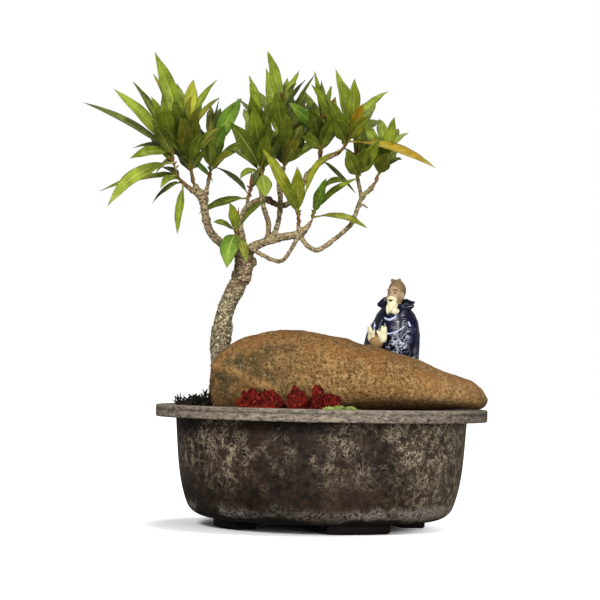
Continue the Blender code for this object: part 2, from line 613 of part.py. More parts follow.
def rock_body(name):
    """The rock as a closed loft of sections along its length."""
    shape = bmesh.new()
    left, right = ROCK_TOP[0][0], ROCK_TOP[-1][0]
    reach = (right - left) / 2
    rings = []
    for i in range(1, ROCK_STATIONS):
        x = (left + right) / 2 - reach * math.cos(math.pi * i / ROCK_STATIONS)
        angles = [TURN * (k + 0.5) / ROCK_SIDES for k in range(ROCK_SIDES)]
        rings.append([shape.verts.new(rock_point(x, a)) for a in angles])
    for low, high in zip(rings, rings[1:]):
        bridge(shape, low, high)
    for ring, x in ((rings[0], left), (rings[-1], right)):
        middle = sum((v.co for v in ring), Vector()) / len(ring)
        side = -1 if x == left else 1
        fan(shape, ring, shape.verts.new(middle + Vector((side * ROCK_END * MM, 0, 0))))
    return as_object(name, shape)


def stone_body(name, row):
    """One small rough stone."""
    x, depth, z, wide, high = row
    shape = bmesh.new()
    bmesh.ops.create_icosphere(shape, subdivisions=2, radius=1.0)
    place = spot(x, depth, z)
    for v in shape.verts:
        bump = 1 + STONE_BUMP * noise.noise(v.co * 1.7 + Vector((x, 0, 0)))
        v.co = place + Vector((v.co.x * wide, v.co.y * wide * 0.85, v.co.z * high)) * MM * bump
    return as_object(name, shape)


def roots_and_stem(rows, swell=0.0):
    """The stem along some of its points, and the roots that leave its foot."""
    points = [spot(*row[:3]) for row in rows]
    stem = tube("stem", points, [row[3] * MM + swell for row in rows], TRUNK_SIDES, TRUNK_GNARL)
    roots = []
    foot = spot(*TRUNK[2][:3])
    for k, (degrees, reach) in enumerate(ROOTS):
        out = Vector((math.cos(math.radians(degrees)), math.sin(math.radians(degrees)), 0)) * reach
        points = [foot + (out * far + UP * high) * MM for far, high, _ in ROOT_STEPS]
        roots.append(tube(f"root_{k}", points, [r * MM + swell for _, _, r in ROOT_STEPS], LIMB_SIDES))
    return stem, roots


def make_trunk():
    """Trunk, branches, burl, cut knob and roots, grown together as one body."""
    stem, parts = roots_and_stem(TRUNK)
    for limb, rows in LIMBS.items():
        points = [spot(*row[:3]) for row in rows]
        parts.append(tube(limb, points, [row[3] * MM for row in rows], LIMB_SIDES, LIMB_GNARL))
    x, depth, z, radius = BURL
    parts.append(ball("burl", spot(x, depth, z), [radius * MM] * 3, 10, 7))
    return boolean("trunk", stem, parts, "UNION")


def trunk_hole():
    """The hole that the foot of the trunk and its roots fill."""
    stem, roots = roots_and_stem(TRUNK[:STEM_IN_HOLE], SEAT_GAP)
    return boolean("trunk_hole", stem, roots, "UNION")


def shoot_points(limb, rows):
    """The points and radii of a shoot, which starts square to the end of its limb with a gap."""
    before, end = (spot(*row[:3]) for row in LIMBS[limb][-2:])
    ahead = (end - before).normalized()
    thick = LIMBS[limb][-1][3]
    points = [end + ahead * GAP, end + ahead * SHOOT_START] + [spot(*row[:3]) for row in rows]
    return points, [r * MM for r in (thick, thick, *[row[3] for row in rows])]


def nearest_on(points, x, z):
    """The place on a path that the front view shows nearest to x, z."""
    best = None
    for a, b in zip(points, points[1:]):
        for k in range(9):
            place = a.lerp(b, k / 8)
            aim = spot(x, place.y / MM, z)
            away = (place - aim).length
            if best is None or away < best[0]:
                best = (away, place)
    return best[1]


def leaf_lines(points, row):
    """A leaf's foot, chord, arch, side direction and half width, from its row in the table."""
    foot_x, foot_z, tip_x, tip_z, seen, reach, arch = row
    foot = nearest_on(points, foot_x, foot_z)
    flat = spot(tip_x, foot.y / MM, tip_z)
    behind = math.sqrt(max(0.0, reach * reach - ((flat - foot).length / MM) ** 2))
    tip = spot(tip_x, foot.y / MM + math.copysign(behind, reach), tip_z)
    chord = tip - foot
    ahead = chord.normalized()
    rise = (UP - ahead * UP.dot(ahead)).normalized() * arch * MM
    width = max(abs(seen), min(BROADEST, max(NARROWEST, SLIM * abs(reach))))
    level = ahead.cross(VIEW_LINE).normalized()
    square = level.cross(ahead)
    lean = math.acos(min(1.0, abs(seen) / width))
    sides = [level * math.cos(lean) + square * math.sin(lean) * way for way in (1, -1)]
    faces = []
    for side in sides:
        face = side.cross(ahead)
        if (face.dot(VIEW_LINE) > 0) == (seen > 0):
            side, face = -side, -face
        faces.append((face.z, side, face))
    _, side, face = max(faces, key=lambda option: option[0])
    return foot, chord, rise, side, face, width / 2 * MM


def leaf_share(t):
    """The blade's half width along the leaf, as a share of the widest."""
    u = (t - PETIOLE_SHARE) / (1 - PETIOLE_SHARE)
    if u <= 0:
        return 0.0
    return (u / 0.4) ** 0.6 * ((1 - u) / 0.6) ** 0.9


def leaf_body(name, points, row):
    """One closed leaf: petiole and blade, folded a little along the midrib."""
    foot, chord, rise, side, face, half = leaf_lines(points, row)
    shape = bmesh.new()
    rings = []
    for t in LEAF_STATIONS:
        centre = foot + chord * t + rise * 4 * t * (1 - t)
        ahead = (chord + rise * 4 * (1 - 2 * t)).normalized()
        across = (side - ahead * side.dot(ahead)).normalized()
        upper = across.cross(ahead)
        upper = upper if upper.dot(face) > 0 else -upper
        wide = max(PETIOLE_RADIUS, half * leaf_share(t))
        lift = LEAF_FOLD * (wide - PETIOLE_RADIUS)
        thick = PETIOLE_RADIUS if wide == PETIOLE_RADIUS else LEAF_HALF_THICKNESS
        corners = (across * -wide + upper * lift, upper * thick, across * wide + upper * lift, upper * -thick)
        rings.append([shape.verts.new(centre + corner) for corner in corners])
    for low, high in zip(rings, rings[1:]):
        bridge(shape, low, high)
    shape.faces.new(rings[0])
    fan(shape, rings[-1], shape.verts.new(foot + chord))
    return as_object(name, shape)


def make_sprays():
    """Each leafy shoot with its leaves fused to it."""
    green = finish("leaf_green", (0.16, 0.24, 0.04), 0.45)
    for name, (limb, rows, leaves) in SHOOTS.items():
        points, radii = shoot_points(limb, rows)
        stem = tube(name + "_stem", points, radii, SHOOT_SIDES)
        blades = [leaf_body(f"{name}_{k}", points, row) for k, row in enumerate(leaves)]
        dress(boolean(name, stem, blades, "UNION"), green, 60)


def figure_place(x, y, z):
    """A point of the figure, from its own millimetres to its place behind the rock."""
    stand = spot(FIGURE_PLACE[0], FIGURE_PLACE[1], FIGURE_FOOT)
    turn = Matrix.Rotation(FIGURE_TURN, 3, "Z")
    return stand + turn @ (Vector((x, y, z)) * MM)


def robe_body(rings):
    """The robe, or its foot alone, turned and set in its place."""
    levels = [(Vector((0, 0, z * MM)), wide * MM, deep * MM) for z, wide, deep in rings]
    robe = loft("robe", levels, ROBE_SIDES)
    robe.data.transform(Matrix.Translation(figure_place(0, 0, 0)) @ Matrix.Rotation(FIGURE_TURN, 4, "Z"))
    return robe


def figure_foot():
    """The straight-sided block that the foot of the robe fills."""
    top, wide, deep = ROBE_RINGS[2]
    return robe_body([(z, wide, deep) for z in (0.0, top)])


def make_figure():
    """A robed, bearded old man of glazed clay, holding a round fruit before him."""
    robe = robe_body(ROBE_RINGS)
    parts = []
    for name, centre, radii, around, rows in FIGURE_ROUNDS:
        parts.append(ball(name, figure_place(*centre), [r * MM for r in radii], around, rows))
    for name, rows in FIGURE_TUBES.items():
        points = [figure_place(*row[:3]) for row in rows]
        parts.append(tube(name, points, [row[3] * MM for row in rows], FIGURE_TUBE_SIDES))
    figure = boolean("figurine", robe, parts, "UNION")
    return dress(figure, finish("blue_glaze", (0.010, 0.016, 0.10), 0.15), 50)


def stand_on_origin():
    """Slides the whole model, so that the middle of its bounding box's underside is the origin."""
    things = list(bpy.context.scene.objects)
    corners = [v.co for thing in things for v in thing.data.vertices]
    low = Vector([min(c[i] for c in corners) for i in range(3)])
    high = Vector([max(c[i] for c in corners) for i in range(3)])
    slide = Vector((-(low.x + high.x) / 2, -(low.y + high.y) / 2, -low.z))
    for thing in things:
        thing.data.transform(Matrix.Translation(slide))
        thing.data.update()


def main():
    clear_scene()
    make_pot()
    pressed_in = [rock_body("rock_seat"), figure_foot()]
    pressed_in += [stone_body(f"stone_seat_{k}", row) for k, row in enumerate(STONES)]
    make_soil([trunk_hole(), *[seat_of(thing) for thing in pressed_in]])
    sandstone = finish("sandstone", (0.27, 0.15, 0.06), 0.9)
    dress(rock_body("rock"), sandstone, 45)
    lava = finish("red_lava", (0.09, 0.018, 0.009), 0.95)
    for k, row in enumerate(STONES):
        dress(stone_body(f"lava_stone_{k + 1}", row), lava, 30)
    dress(make_trunk(), finish("bark", (0.24, 0.19, 0.11), 0.9), 60)
    make_sprays()
    make_figure()
    stand_on_origin()


main()
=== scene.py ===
"""Looks of a willow-leaved ficus bonsai behind a sandstone rock in a round training pot.

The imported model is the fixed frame. Each piece here is built around the pot's axis from the same
named values as the model's source, then slid to the place that the frame gives the pot."""
import math
import random

import bmesh
import bpy
from mathutils import Matrix, Vector, noise
from mathutils.bvhtree import BVHTree
from mathutils.kdtree import KDTree


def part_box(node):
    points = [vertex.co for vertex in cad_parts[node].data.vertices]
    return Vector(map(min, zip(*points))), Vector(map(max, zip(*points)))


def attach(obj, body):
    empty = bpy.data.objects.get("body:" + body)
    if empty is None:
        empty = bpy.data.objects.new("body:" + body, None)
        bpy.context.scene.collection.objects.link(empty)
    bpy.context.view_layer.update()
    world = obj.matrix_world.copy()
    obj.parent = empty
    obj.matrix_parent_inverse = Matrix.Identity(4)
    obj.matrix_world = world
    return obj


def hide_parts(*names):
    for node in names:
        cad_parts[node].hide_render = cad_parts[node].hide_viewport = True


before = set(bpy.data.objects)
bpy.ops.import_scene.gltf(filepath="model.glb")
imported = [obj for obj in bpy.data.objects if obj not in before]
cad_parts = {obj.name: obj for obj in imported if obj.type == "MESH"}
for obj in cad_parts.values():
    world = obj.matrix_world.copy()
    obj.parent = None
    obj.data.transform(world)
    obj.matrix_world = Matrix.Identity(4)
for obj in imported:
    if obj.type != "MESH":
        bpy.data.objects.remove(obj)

bl_info = {
    "name": "Willow-leaved ficus bonsai",
    "version": (1, 0, 0),
    "blender": (4, 5, 0),
    "location": "View3D > Sidebar > Bonsai",
    "description": "Builds the leaves, bark, rock, pot, soil, stones and glazed figure of a small bonsai",
    "category": "Object",
}

# Vector noise takes its offsets from the clock until it has a seed of its own.
noise.seed_set(1)

MM = 0.001
TURN = 2 * math.pi
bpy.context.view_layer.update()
POT_LOW, POT_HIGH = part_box("pot")
SLIDE = Vector(((POT_LOW[0] + POT_HIGH[0]) / 2, (POT_LOW[1] + POT_HIGH[1]) / 2, 0.0))

# The front view
EYE = Vector((-14.6, -1300, 94)) * MM
VIEW_X = 2
VIEW_LINE = Vector((0, 1, 0))
UP = Vector((0, 0, 1))

# Pot
POT_HEIGHT = 73.6 * MM
RIM_RADIUS = 101.6 * MM
LIP_DROP = 7.4 * MM
LIP_WALL = 2.8 * MM
FLANGE_WALL = 2.8 * MM
NECK_RADIUS = 89.5 * MM
BODY_CURVE = ((68, 5.5), (74.5, 7), (80, 11), (83, 18), (85.5, 28), (87.4, 42))
WALL = 3.4 * MM
FLOOR_TOP = 9.5 * MM
FOOT_HEIGHT = 5.5 * MM
FOOT_RADII = (49 * MM, 65 * MM)
FOOT_HALF_ANGLE = math.radians(18)
FOOT_TURN = math.radians(21.5)
DRAIN_RADIUS = 6 * MM
DRAIN_RING = 36 * MM
CORNER_ROUND = 1.2 * MM
FLOOR_CORNER = 7 * MM

# Soil
SOIL_LEVEL = 70 * MM

# Rock, its skyline and underside in the front view
ROCK_TOP = (
    (-71, 90), (-69.5, 100), (-64, 107.5), (-57, 112), (-50, 116), (-40, 119), (-28, 121), (-15, 120),
    (0, 118), (12, 116), (18, 113.8), (22, 112), (30, 112), (40, 109), (50, 106), (60, 102), (70, 98),
    (80, 95.5), (90, 92), (96, 87), (100, 81),
)
ROCK_FOOT = ((-71, 66.5), (100, 74.8))
ROCK_DEPTH = -14
ROCK_HALF_DEPTH = 36
ROCK_SQUARENESS = 2.5
ROCK_LEDGE = ((-72, 98), (-55, 93), (-45, 87.5), (-28, 82))
ROCK_LEDGE_STEP = 6
ROCK_LEDGE_EASE = 4
ROCK_LEDGE_FADE = 14
ROCK_TAPER = 2.6
ROCK_BATTER = 0.12
ROCK_BUMPS = ((1.5, 0.045), (0.7, 0.13))

# Grains of the sandstone: size, share, strength and tone
ROCK_GRAINS = (
    (1.2, 0.14, 0.45, (52, 36, 20)), (1.1, 0.08, 0.4, (192, 160, 112)), (2.6, 0.06, 0.45, (120, 66, 32)),
)

# Lava stones: x, depth, z of the middle, half width, half height
STONES = (
    (-46, -61, 74.6, 7.3, 8), (-31.6, -66.5, 74, 6.7, 8), (-17, -70, 75.2, 6, 9.2), (-5, -66.5, 75, 5.4, 9.4),
    (5.2, -71.5, 73.8, 5.2, 7.6),
)

# Glazed figure: its place in the front view, its foot, how far it is turned to the left, and its robe's level
# rings of height, half width and half depth
FIGURE_PLACE = (42.5, 40)
FIGURE_FOOT = 68.5
FIGURE_TURN = math.radians(-30)
ROBE_RINGS = (
    (0, 13.5, 11), (2, 15.2, 12.6), (12, 15.6, 13), (26, 15, 12.4), (40, 15.4, 12.2), (52, 16.2, 12),
    (60, 15, 11), (65, 12.6, 9.6), (68.5, 9.6, 7.4), (71, 6, 5.5),
)

# Trunk and branches: x, depth, z and radius of each point
TRUNK = (
    (-66.5, 30, 52, 4.6), (-66, 30, 62, 7.4), (-66, 30, 70, 8.6), (-65.5, 30, 77, 7.2), (-65, 30, 88, 6.2),
    (-65, 30, 100, 6.1), (-65, 30, 111, 6.9), (-64, 30, 120, 6.9), (-63, 30, 128, 5.8), (-60, 30, 138, 5.8),
    (-56.5, 30, 145, 6), (-54.7, 30, 149, 5.5), (-53.2, 30, 152, 6.9), (-52, 30, 157, 6.1),
    (-51.3, 30, 162, 6.4), (-52, 30, 167, 6), (-53.5, 30, 171, 4.4), (-54.5, 30, 174, 2.4),
)
LIMBS = {
    "left": (
        (-53, 30, 165, 4), (-57, 29, 168.5, 3.6), (-66, 26, 173, 2.9), (-73, 22, 180.5, 2.8),
        (-76, 20, 190, 2.7), (-77, 19, 197, 2.8), (-80, 18, 203, 2.6), (-83, 18, 209, 2),
    ),
    "left_low": ((-79, 18, 201, 2), (-84, 15, 205, 1.8), (-88, 12, 208, 1.6)),
    "left_back": ((-77.5, 19, 199, 2), (-75.5, 25, 206, 1.6), (-74, 29, 213.5, 1.4)),
    "behind": (
        (-51, 30, 167, 3.4), (-52, 33, 173, 2.5), (-54, 36, 182, 2.1), (-54, 37, 188, 2), (-50, 38, 196, 2.1),
        (-43, 38, 200, 2), (-38, 38, 200, 2), (-30, 37, 197, 2), (-24, 36, 199, 2), (-18, 34, 207, 2),
        (-14, 33, 215, 1.9), (-9, 32, 221, 1.8), (-7, 32, 225, 1.5),
    ),
    "behind_fork": ((-12.5, 33, 217.5, 1.7), (-4, 28, 225, 1.5), (3.5, 25, 229.2, 1.4)),
    "behind_spur": ((-50, 38, 195.5, 1.6), (-50, 40, 200, 1.2)),
    "middle": (
        (-50, 30, 166.5, 4.2), (-46, 28, 171, 3.2), (-40, 26, 174, 2.8), (-30, 24, 177, 2.8),
        (-20, 23, 179, 2.7), (-16, 22, 181, 2.3), (-13, 22, 184, 1.8), (-11, 22, 187, 1.5),
    ),
    "middle_left": (
        (-38, 25.5, 174.5, 2), (-37, 24, 180, 1.9), (-37, 22, 186, 1.8), (-39, 20, 192, 1.8),
        (-41, 19, 199, 1.8), (-42, 18, 208, 1.7), (-42, 17, 215, 1.6),
    ),
    "middle_right": (
        (-34, 25, 176, 2), (-33, 26, 180, 1.9), (-31, 28, 186, 1.8), (-30, 29, 195, 1.8), (-30, 30, 203, 1.8),
        (-31, 30, 211, 1.8), (-28, 30, 221, 1.6),
    ),
    "front": (
        (-50, 29, 167, 2.2), (-46, 21, 169, 1.7), (-40, 17, 166, 1.5), (-33, 15, 163, 1.5),
        (-28, 15, 163, 1.5), (-24, 16, 168, 1.5), (-20, 19, 175, 1.5), (-17, 22, 180, 1.6),
    ),
    "right": (
        (-17, 22, 180, 1.8), (-15, 20, 175, 1.7), (-12, 18, 172, 1.7), (-8, 18, 170, 1.6), (-4, 18, 171, 1.6),
        (4, 19, 177, 1.6), (12, 20, 184, 1.6), (15, 20, 188, 1.6), (17, 20, 194, 1.6), (19, 20, 200, 1.6),
        (21, 20, 204.5, 1.6), (25, 20, 207.5, 1.5), (28, 20, 212, 1.4),
    ),
    "right_low": ((20, 20, 203, 1.5), (19, 24, 208, 1.4), (18, 28, 212, 1.3)),
    "hook": ((18.2, 20, 196.5, 0.9), (21, 19, 198.5, 0.8), (24, 18.5, 196.2, 0.6)),
    "low": ((-18.5, 22.7, 179, 1.5), (-18.5, 20, 184.5, 1.3)),
    "top": ((-54, 28, 169, 2), (-55.5, 24.5, 174, 1.6), (-56, 23, 177, 1.4)),
    "knob": ((-54, 30, 165.5, 3), (-60.5, 27, 169, 2.6)),
}
BURL = (-47, 28.5, 161.5, 3.6)
ROOTS = ((335, 1), (35, 0.8), (95, 0.5), (215, 0.6), (275, 0.85))
ROOT_STEPS = ((2, 4, 4.6), (9, 0.5, 3.6), (16, -5, 2.6), (22, -15, 1.8), (25, -27, 1))

# Leaf form
PETIOLE_SHARE = 0.10
SLIM = 0.165
NARROWEST = 6.2
BROADEST = 10.4

# Each shoot: the limb it grows from, a colour letter for each leaf, its points (x, depth, z, radius),
# then its leaves. A leaf is its foot x, z and its tip x, z in the front view, the width seen (negative
# where the underside shows), its real length (negative where it points to the front) and how far it
# arches up. The last few leaves of a shoot fill its rosette and are too fine for the solids.
SHOOTS = {
    "spray_left_outer": ("left_low", "dldggdlodgdggdgddog", (
        (-93, 10, 213, 1.5), (-96, 9, 221, 1.3), (-97, 9, 230, 1), (-98, 9, 239, 0.3),
    ), (
        (-97, 228, -153.4, 258.5, 4.6, 66, 2.4), (-97, 229, -134, 267, 7, -56, 1.5),
        (-97, 231, -122, 272, 5, 52, 1), (-97, 230, -111, 263, 6, -42, 1), (-96, 228, -123, 224, 6, -40, 3),
        (-97, 229, -122, 231, 4, 38, 2.5), (-96, 222, -136, 195, 8, -52, 6),
        (-94, 214, -141, 204, 4, 51, 2.6), (-93, 212, -115, 212, 3.5, 34, 2),
        (-91, 210, -104, 207, 4, -26, 3.5), (-91, 210, -109, 197, 3.5, 32, 2),
        (-90, 209, -93, 178, 5, -38, 1), (-97, 232, -104, 266, 7, 52, 1), (-96, 220, -112, 240, 7, 48, 1.5),
        (-97, 232, -104, 260, 9, -46, 1), (-96, 225, -110, 248, 8, -44, 1),
        (-90.5, 212.5, -104.5, 219.5, 4, 32, 2), (-93.5, 223.5, -107.5, 215, 4, 34, 2),
        (-94, 224.5, -101, 243, 7, 40, 1),
    )),
    "spray_left_main": ("left", "ygyogoobglgdogoddcddd", (
        (-85, 17, 216, 1.8), (-87, 16, 225, 1.5), (-89, 16, 235, 1.3), (-90, 16, 243, 1),
        (-89.5, 16, 251, 0.3),
    ), (
        (-88, 235, -110, 277, 5, 50, 1), (-89, 236, -109, 290, 10, -60, 1), (-89, 240, -85, 274, 9, 40, 0.5),
        (-89.5, 243, -86, 264, 4, -24, 0.5), (-88, 240, -71, 274, 5, 44, 2),
        (-88, 238, -69, 263, 4, -40, 1.5), (-87, 222, -92, 250, 10, -50, 2), (-87, 225, -68, 245, -6, -38, 1),
        (-89, 238, -95, 272, 7, 52, 1), (-88, 232, -80, 262, 8, 52, 1.5), (-86, 219, -80, 240, 7, -44, 2),
        (-88, 233, -97, 262, 9, -52, 1), (-87, 228, -83, 256, 9, -50, 1), (-88, 234, -100, 266, 7, 54, 1),
        (-86.5, 221, -82, 249.5, 8, 46, 1), (-89.5, 223.5, -103.5, 246, 7, -42, 1),
        (-91.5, 222.5, -109, 232, 5, 40, 2), (-84.5, 223, -71, 210.5, 3.5, 34, 2),
        (-86, 220.5, -89.5, 249.5, 8, -46, 1), (-86, 216.5, -77.5, 230, 6, -30, 1),
        (-86.5, 214.5, -94.5, 229.5, 6, 32, 1.5),
    )),
    "spray_left_inner": ("left_back", "ocgldgcdgdod", (
        (-73.5, 30, 221, 1.3), (-73, 31, 229, 1.1), (-74, 31, 237, 0.9), (-74.5, 31, 244, 0.3),
    ), (
        (-74, 235, -74, 258, 6, 32, 0.5), (-73, 229, -55, 263, 10, 46, 2), (-73.5, 219, -75, 236, -9, -32, 1),
        (-73, 220, -42, 239, 6, 45, 2), (-73, 224, -86, 248, 7, 48, 1), (-73, 227, -64, 250, 7, 50, 1),
        (-73, 223, -65, 246, 8, -40, 1), (-74, 232, -68, 257, 7, 42, 1), (-71.5, 218, -66.5, 243.5, 8, 44, 1),
        (-71.5, 219, -78.5, 241, 7, 42, 1), (-71, 216.5, -61.5, 230.5, 5, -32, 1),
        (-72.5, 221, -69.5, 262.5, 2.4, 46, 1),
    )),
    "spray_fork": ("behind_spur", "ddd", (
        (-49, 42, 204, 1), (-48.5, 43, 210, 0.3),
    ), (
        (-49.8, 201, -80, 191, 5, 36, 2.5), (-49.3, 203, -70, 220, 3.5, 34, 2),
        (-49, 205, -40, 222, 6, 38, 1),
    )),
    "spray_centre_left": ("middle_left", "gldgdgggddgdldgyg", (
        (-42.5, 16, 222, 1.5), (-43, 15, 232, 1.3), (-43, 15, 242, 1.1), (-42, 15, 250, 0.8),
        (-41.5, 15, 257, 0.3),
    ), (
        (-42.5, 246, -50.5, 277, 5, 38, 1), (-43, 240, -50, 271.5, 6, -38, 1),
        (-43, 244, -58, 263, 3.5, 34, 1.5), (-43, 226, -48, 258, 10, -46, 1),
        (-42.5, 219, -62, 248, 10, -44, 1.5), (-42, 217, -64, 232, 3.5, 36, 2),
        (-42, 217, -55, 213, 4, -22, 3), (-42, 217, -39, 201, -9, -36, 2), (-43, 236, -36, 262, 7, -46, 1),
        (-43, 230, -60, 243, 7, 44, 1.5), (-43, 239, -50, 264, 8, -44, 1), (-42.5, 224, -37, 250, 8, -44, 1),
        (-43, 234, -54, 257, 7, 46, 1), (-41.5, 217, -29, 243, 9, 44, 1), (-44, 218.5, -38.5, 241, 9, -40, 1),
        (-40.5, 217, -46.5, 229.5, 5, 26, 1.5), (-42, 219.5, -52, 251.5, 8, 50, 1.5),
    )),
    "spray_centre_main": ("middle_right", "gglbgddgdyglglododgydgd", (
        (-28.5, 31, 230, 1.5), (-29.5, 31, 242, 1.3), (-30, 31, 252, 1.1), (-30, 31, 260, 0.8),
        (-30, 31, 267, 0.3),
    ), (
        (-30, 256, -39.5, 293, 6.5, 42, 1), (-29, 232, -40.5, 281.5, 9, -54, 1),
        (-30, 255, -20, 281, 4.5, 32, 0.5), (-28.5, 225, -17, 247, -8, -38, 1.5),
        (-28.5, 228, -13, 243, 6, 36, 1.5), (-30, 252, -16, 275, 3.5, 38, 1.5),
        (-30, 256, -22, 273, 3.5, -26, 1), (-29.5, 241, -45, 268, 7, 50, 1), (-29.5, 244, -23, 264, 7, 48, 1),
        (-29, 236, -14, 260, 8, 50, 1.5), (-28.5, 226, -40, 246, 7, 46, 1), (-28.5, 228, -27, 254, 9, -46, 1),
        (-29.5, 240, -34, 267, 9, -44, 1.5), (-30, 250, -27, 276, 7, 40, 1),
        (-28.5, 224, -22, 240, 8, -34, 1), (-28, 217.5, -37, 238, 8, 38, 1),
        (-28, 218.5, -18.5, 240.5, 7, -38, 1), (-27, 221, -15, 243, 8, 40, 1),
        (-25.5, 218.5, -6.5, 237.5, 6.5, 42, 2), (-24.5, 237, -15.5, 267.5, 9, 52, 1),
        (-27.5, 216, -33, 231, 6, 28, 1), (-26, 231, -11.5, 251, 8, 42, 1),
        (-19, 238.5, -10, 280, 2.6, 46, 1),
    )),
    "spray_centre_right": ("behind", "cgdgagdgbgddogb", (
        (-5.5, 31, 232, 1.4), (-4.5, 30, 240, 1.2), (-4, 30, 247, 1), (-4, 30, 254, 0.3),
    ), (
        (-5, 239, -26, 261, 8, -40, 1.5), (-4.5, 243, -10.5, 281, 4, 43, 1), (-4, 246, -6, 275, 4, 34, 0.5),
        (-4, 246, 0, 272, 4, 33, 0.5), (-4.5, 240, 3, 265, 7, 34, 1), (-5, 238, -16, 268, 7, 46, 1),
        (-5, 236, -13, 257, 9, -42, 1), (-5.5, 232, -16, 249, 8, 42, 1), (-6, 230, 3, 250, 8, 44, 1),
        (-5.5, 232, -17, 240, 7, -38, 1), (-6.5, 227, 17, 205, 3, 44, 0.5), (-5, 236.5, 0, 271, 2.4, 40, 1),
        (-5.5, 228.5, -12, 251, 8, 40, 1), (-5.5, 231.5, 1.5, 251, 8, -38, 1), (-6, 230, -4, 255, 6, 42, 1),
    )),
    "spray_low_left": ("low", "yyl", (
        (-18.7, 19, 189, 1.1), (-18.5, 18, 194, 0.8), (-18, 18, 200, 0.3),
    ), (
        (-18.7, 190, -42, 233, 7, -54, 1.5), (-18.5, 192, -20, 221, 8, -38, 0.5),
        (-18.5, 193, -28, 209, 6, -32, 1),
    )),
    "spray_low_right": ("middle", "cgdo", (
        (-9.5, 22, 191, 1.2), (-8.5, 22, 196, 0.9), (-8, 22, 202, 0.3),
    ), (
        (-9.3, 191, -2, 214, 6, -34, 1), (-9, 193, 18, 215, 4, -36, 2.8), (-8.5, 196, 12, 212, 3, -36, 8),
        (-9.5, 190, 24, 184, 4, -40, 3.6),
    )),
    "spray_trunk_top": ("top", "lddco", (
        (-56.3, 21.5, 181, 1.1), (-56, 20.5, 187, 0.3),
    ), (
        (-56.2, 179.5, -61, 198, 6, -26, 1), (-56.2, 181, -39, 200, 3.5, -34, 2),
        (-56.2, 180, -71, 186, 3.5, -26, 1.5), (-56.3, 179.5, -62, 158, 11, -26, 4),
        (-56, 178, -50, 161, 5.5, -26, 2),
    )),
    "spray_right_inner": ("behind_fork", "gllalabyglglogylaayg", (
        (8, 23, 233, 1.3), (12, 22, 239, 1.2), (14, 22, 246, 1.1), (15, 22, 254, 0.8), (15.5, 22, 261, 0.3),
    ), (
        (8, 235, -12, 272, 8, -50, 3), (13, 242, 3, 282, 6.5, -46, 1), (14, 245, 14.5, 276, 8, -42, 0.5),
        (13, 241, 20, 261, 7, -36, 1), (14.5, 247, 35.5, 269.5, 5, 40, 2), (11, 237, 65, 222, 6, -67, 3.8),
        (9, 236, -4, 266, -6, -44, 2), (6, 233, -15, 204, 4, -46, 6), (8, 234, 18, 212, 3, 30, 4),
        (13, 241, 26, 262, 7, 50, 1), (14, 247, 8, 274, 7, 46, 1), (12, 239, 32, 251, 7, 48, 2),
        (10, 236, 0, 257, 7, 48, 1), (9, 236, 1, 262, 8, -44, 1), (11, 237, 23, 253, 8, -38, 1),
        (13, 243, 28, 262, 8, 44, 1), (10.5, 234, 16.5, 245.5, 4, 22, 1), (10, 233, 12.5, 243, 3.5, 20, 1),
        (12, 238, 15.5, 264, 9, 46, 1), (11, 235.5, 1.5, 251, 8, -36, 1),
    )),
    "spray_right_low": ("right_low", "llylollyy", (
        (17, 31, 217, 1.2), (17, 33, 223, 0.9), (17, 34, 229, 0.3),
    ), (
        (17.5, 215, 10, 231, 9, -38, 1), (17, 217, 22, 233, 9, -36, 1), (17, 218, 26, 236, 6, 34, 1),
        (17, 224, 20, 248, 8, 34, 1), (17, 221, 27, 246, 8, 40, 1), (19, 216, 22, 244.5, 9, 48, 1),
        (19, 215.5, 30.5, 238.5, 9, -46, 1), (18, 214.5, 11.5, 232, 9, 36, 1),
        (19, 216.5, 25.5, 242.5, 8, 46, 1),
    )),
    "spray_right_outer": ("right", "llgylollyggd", (
        (29.5, 21, 216, 1.3), (33, 22, 222, 1.2), (35, 22, 229, 1), (36, 22, 235, 0.8), (36.5, 22, 241, 0.3),
    ), (
        (34, 226, 39.5, 253, 7, -34, 1), (36, 231, 48.5, 244, 4, 30, 1.5), (33, 223, 20, 250, 7, -31, 1.5),
        (30, 217, 36, 231, 9, -36, 1), (33, 222, 44, 228, 4, 26, 2), (34.5, 227, 42, 246, 7, 46, 1),
        (31, 219, 42, 235, 7, 40, 1.5), (35, 231, 30, 252, 7, 36, 1), (34, 224, 26, 242, 8, 38, 1),
        (30, 218.5, 25, 238, 8, 38, 1), (30, 220, 45, 227.5, 4, 34, 2), (30.5, 221, 35.5, 239.5, 7, 38, 1),
    )),
}

# Steps along a leaf's blade, where it is widest, the powers of its two ends, its least half width, how much
# wider it is than in the solids, and the leaf-stalk stubs on each shoot
LEAF_STEPS = 20
WIDEST_AT = 0.44
FOOT_CURVE = 0.85
TIP_CURVE = 1.08
THINNEST = 0.05 * MM
SWELL = 1.08
STUBS = 12

# Sides of the robe, the pot's feet, its sharpest soft edge and corner radius, and the spacing of path points
ROBE_SIDES = 72
FEET = 4
SHARP_EDGE = math.radians(38)
EDGE_ROUND = 1.1 * MM
PATH_STEP = 1.5 * MM

# Soil: the least height and slope of its upper faces, their longest edge, and its crumbs' reach and density
SOIL_TOP_LOW = 58 * MM
SOIL_TOP_SLOPE = 0.5
SOIL_EDGE = 5 * MM
CRUMB_REACH = 83 * MM
CRUMB_DENSITY = 300000.0

# Moss cushions and mounds of dry fibres: x, depth, half width and height
MOSS_CUSHIONS = ((9, -77, 5.5, 2.6), (15.5, -79, 4, 2), (3, -79, 3.5, 1.8))
FIBRE_MOUNDS = ((-78, -22, 6, 6.5), (-86, -24, 5, 4), (-75.5, -8, 5, 8))

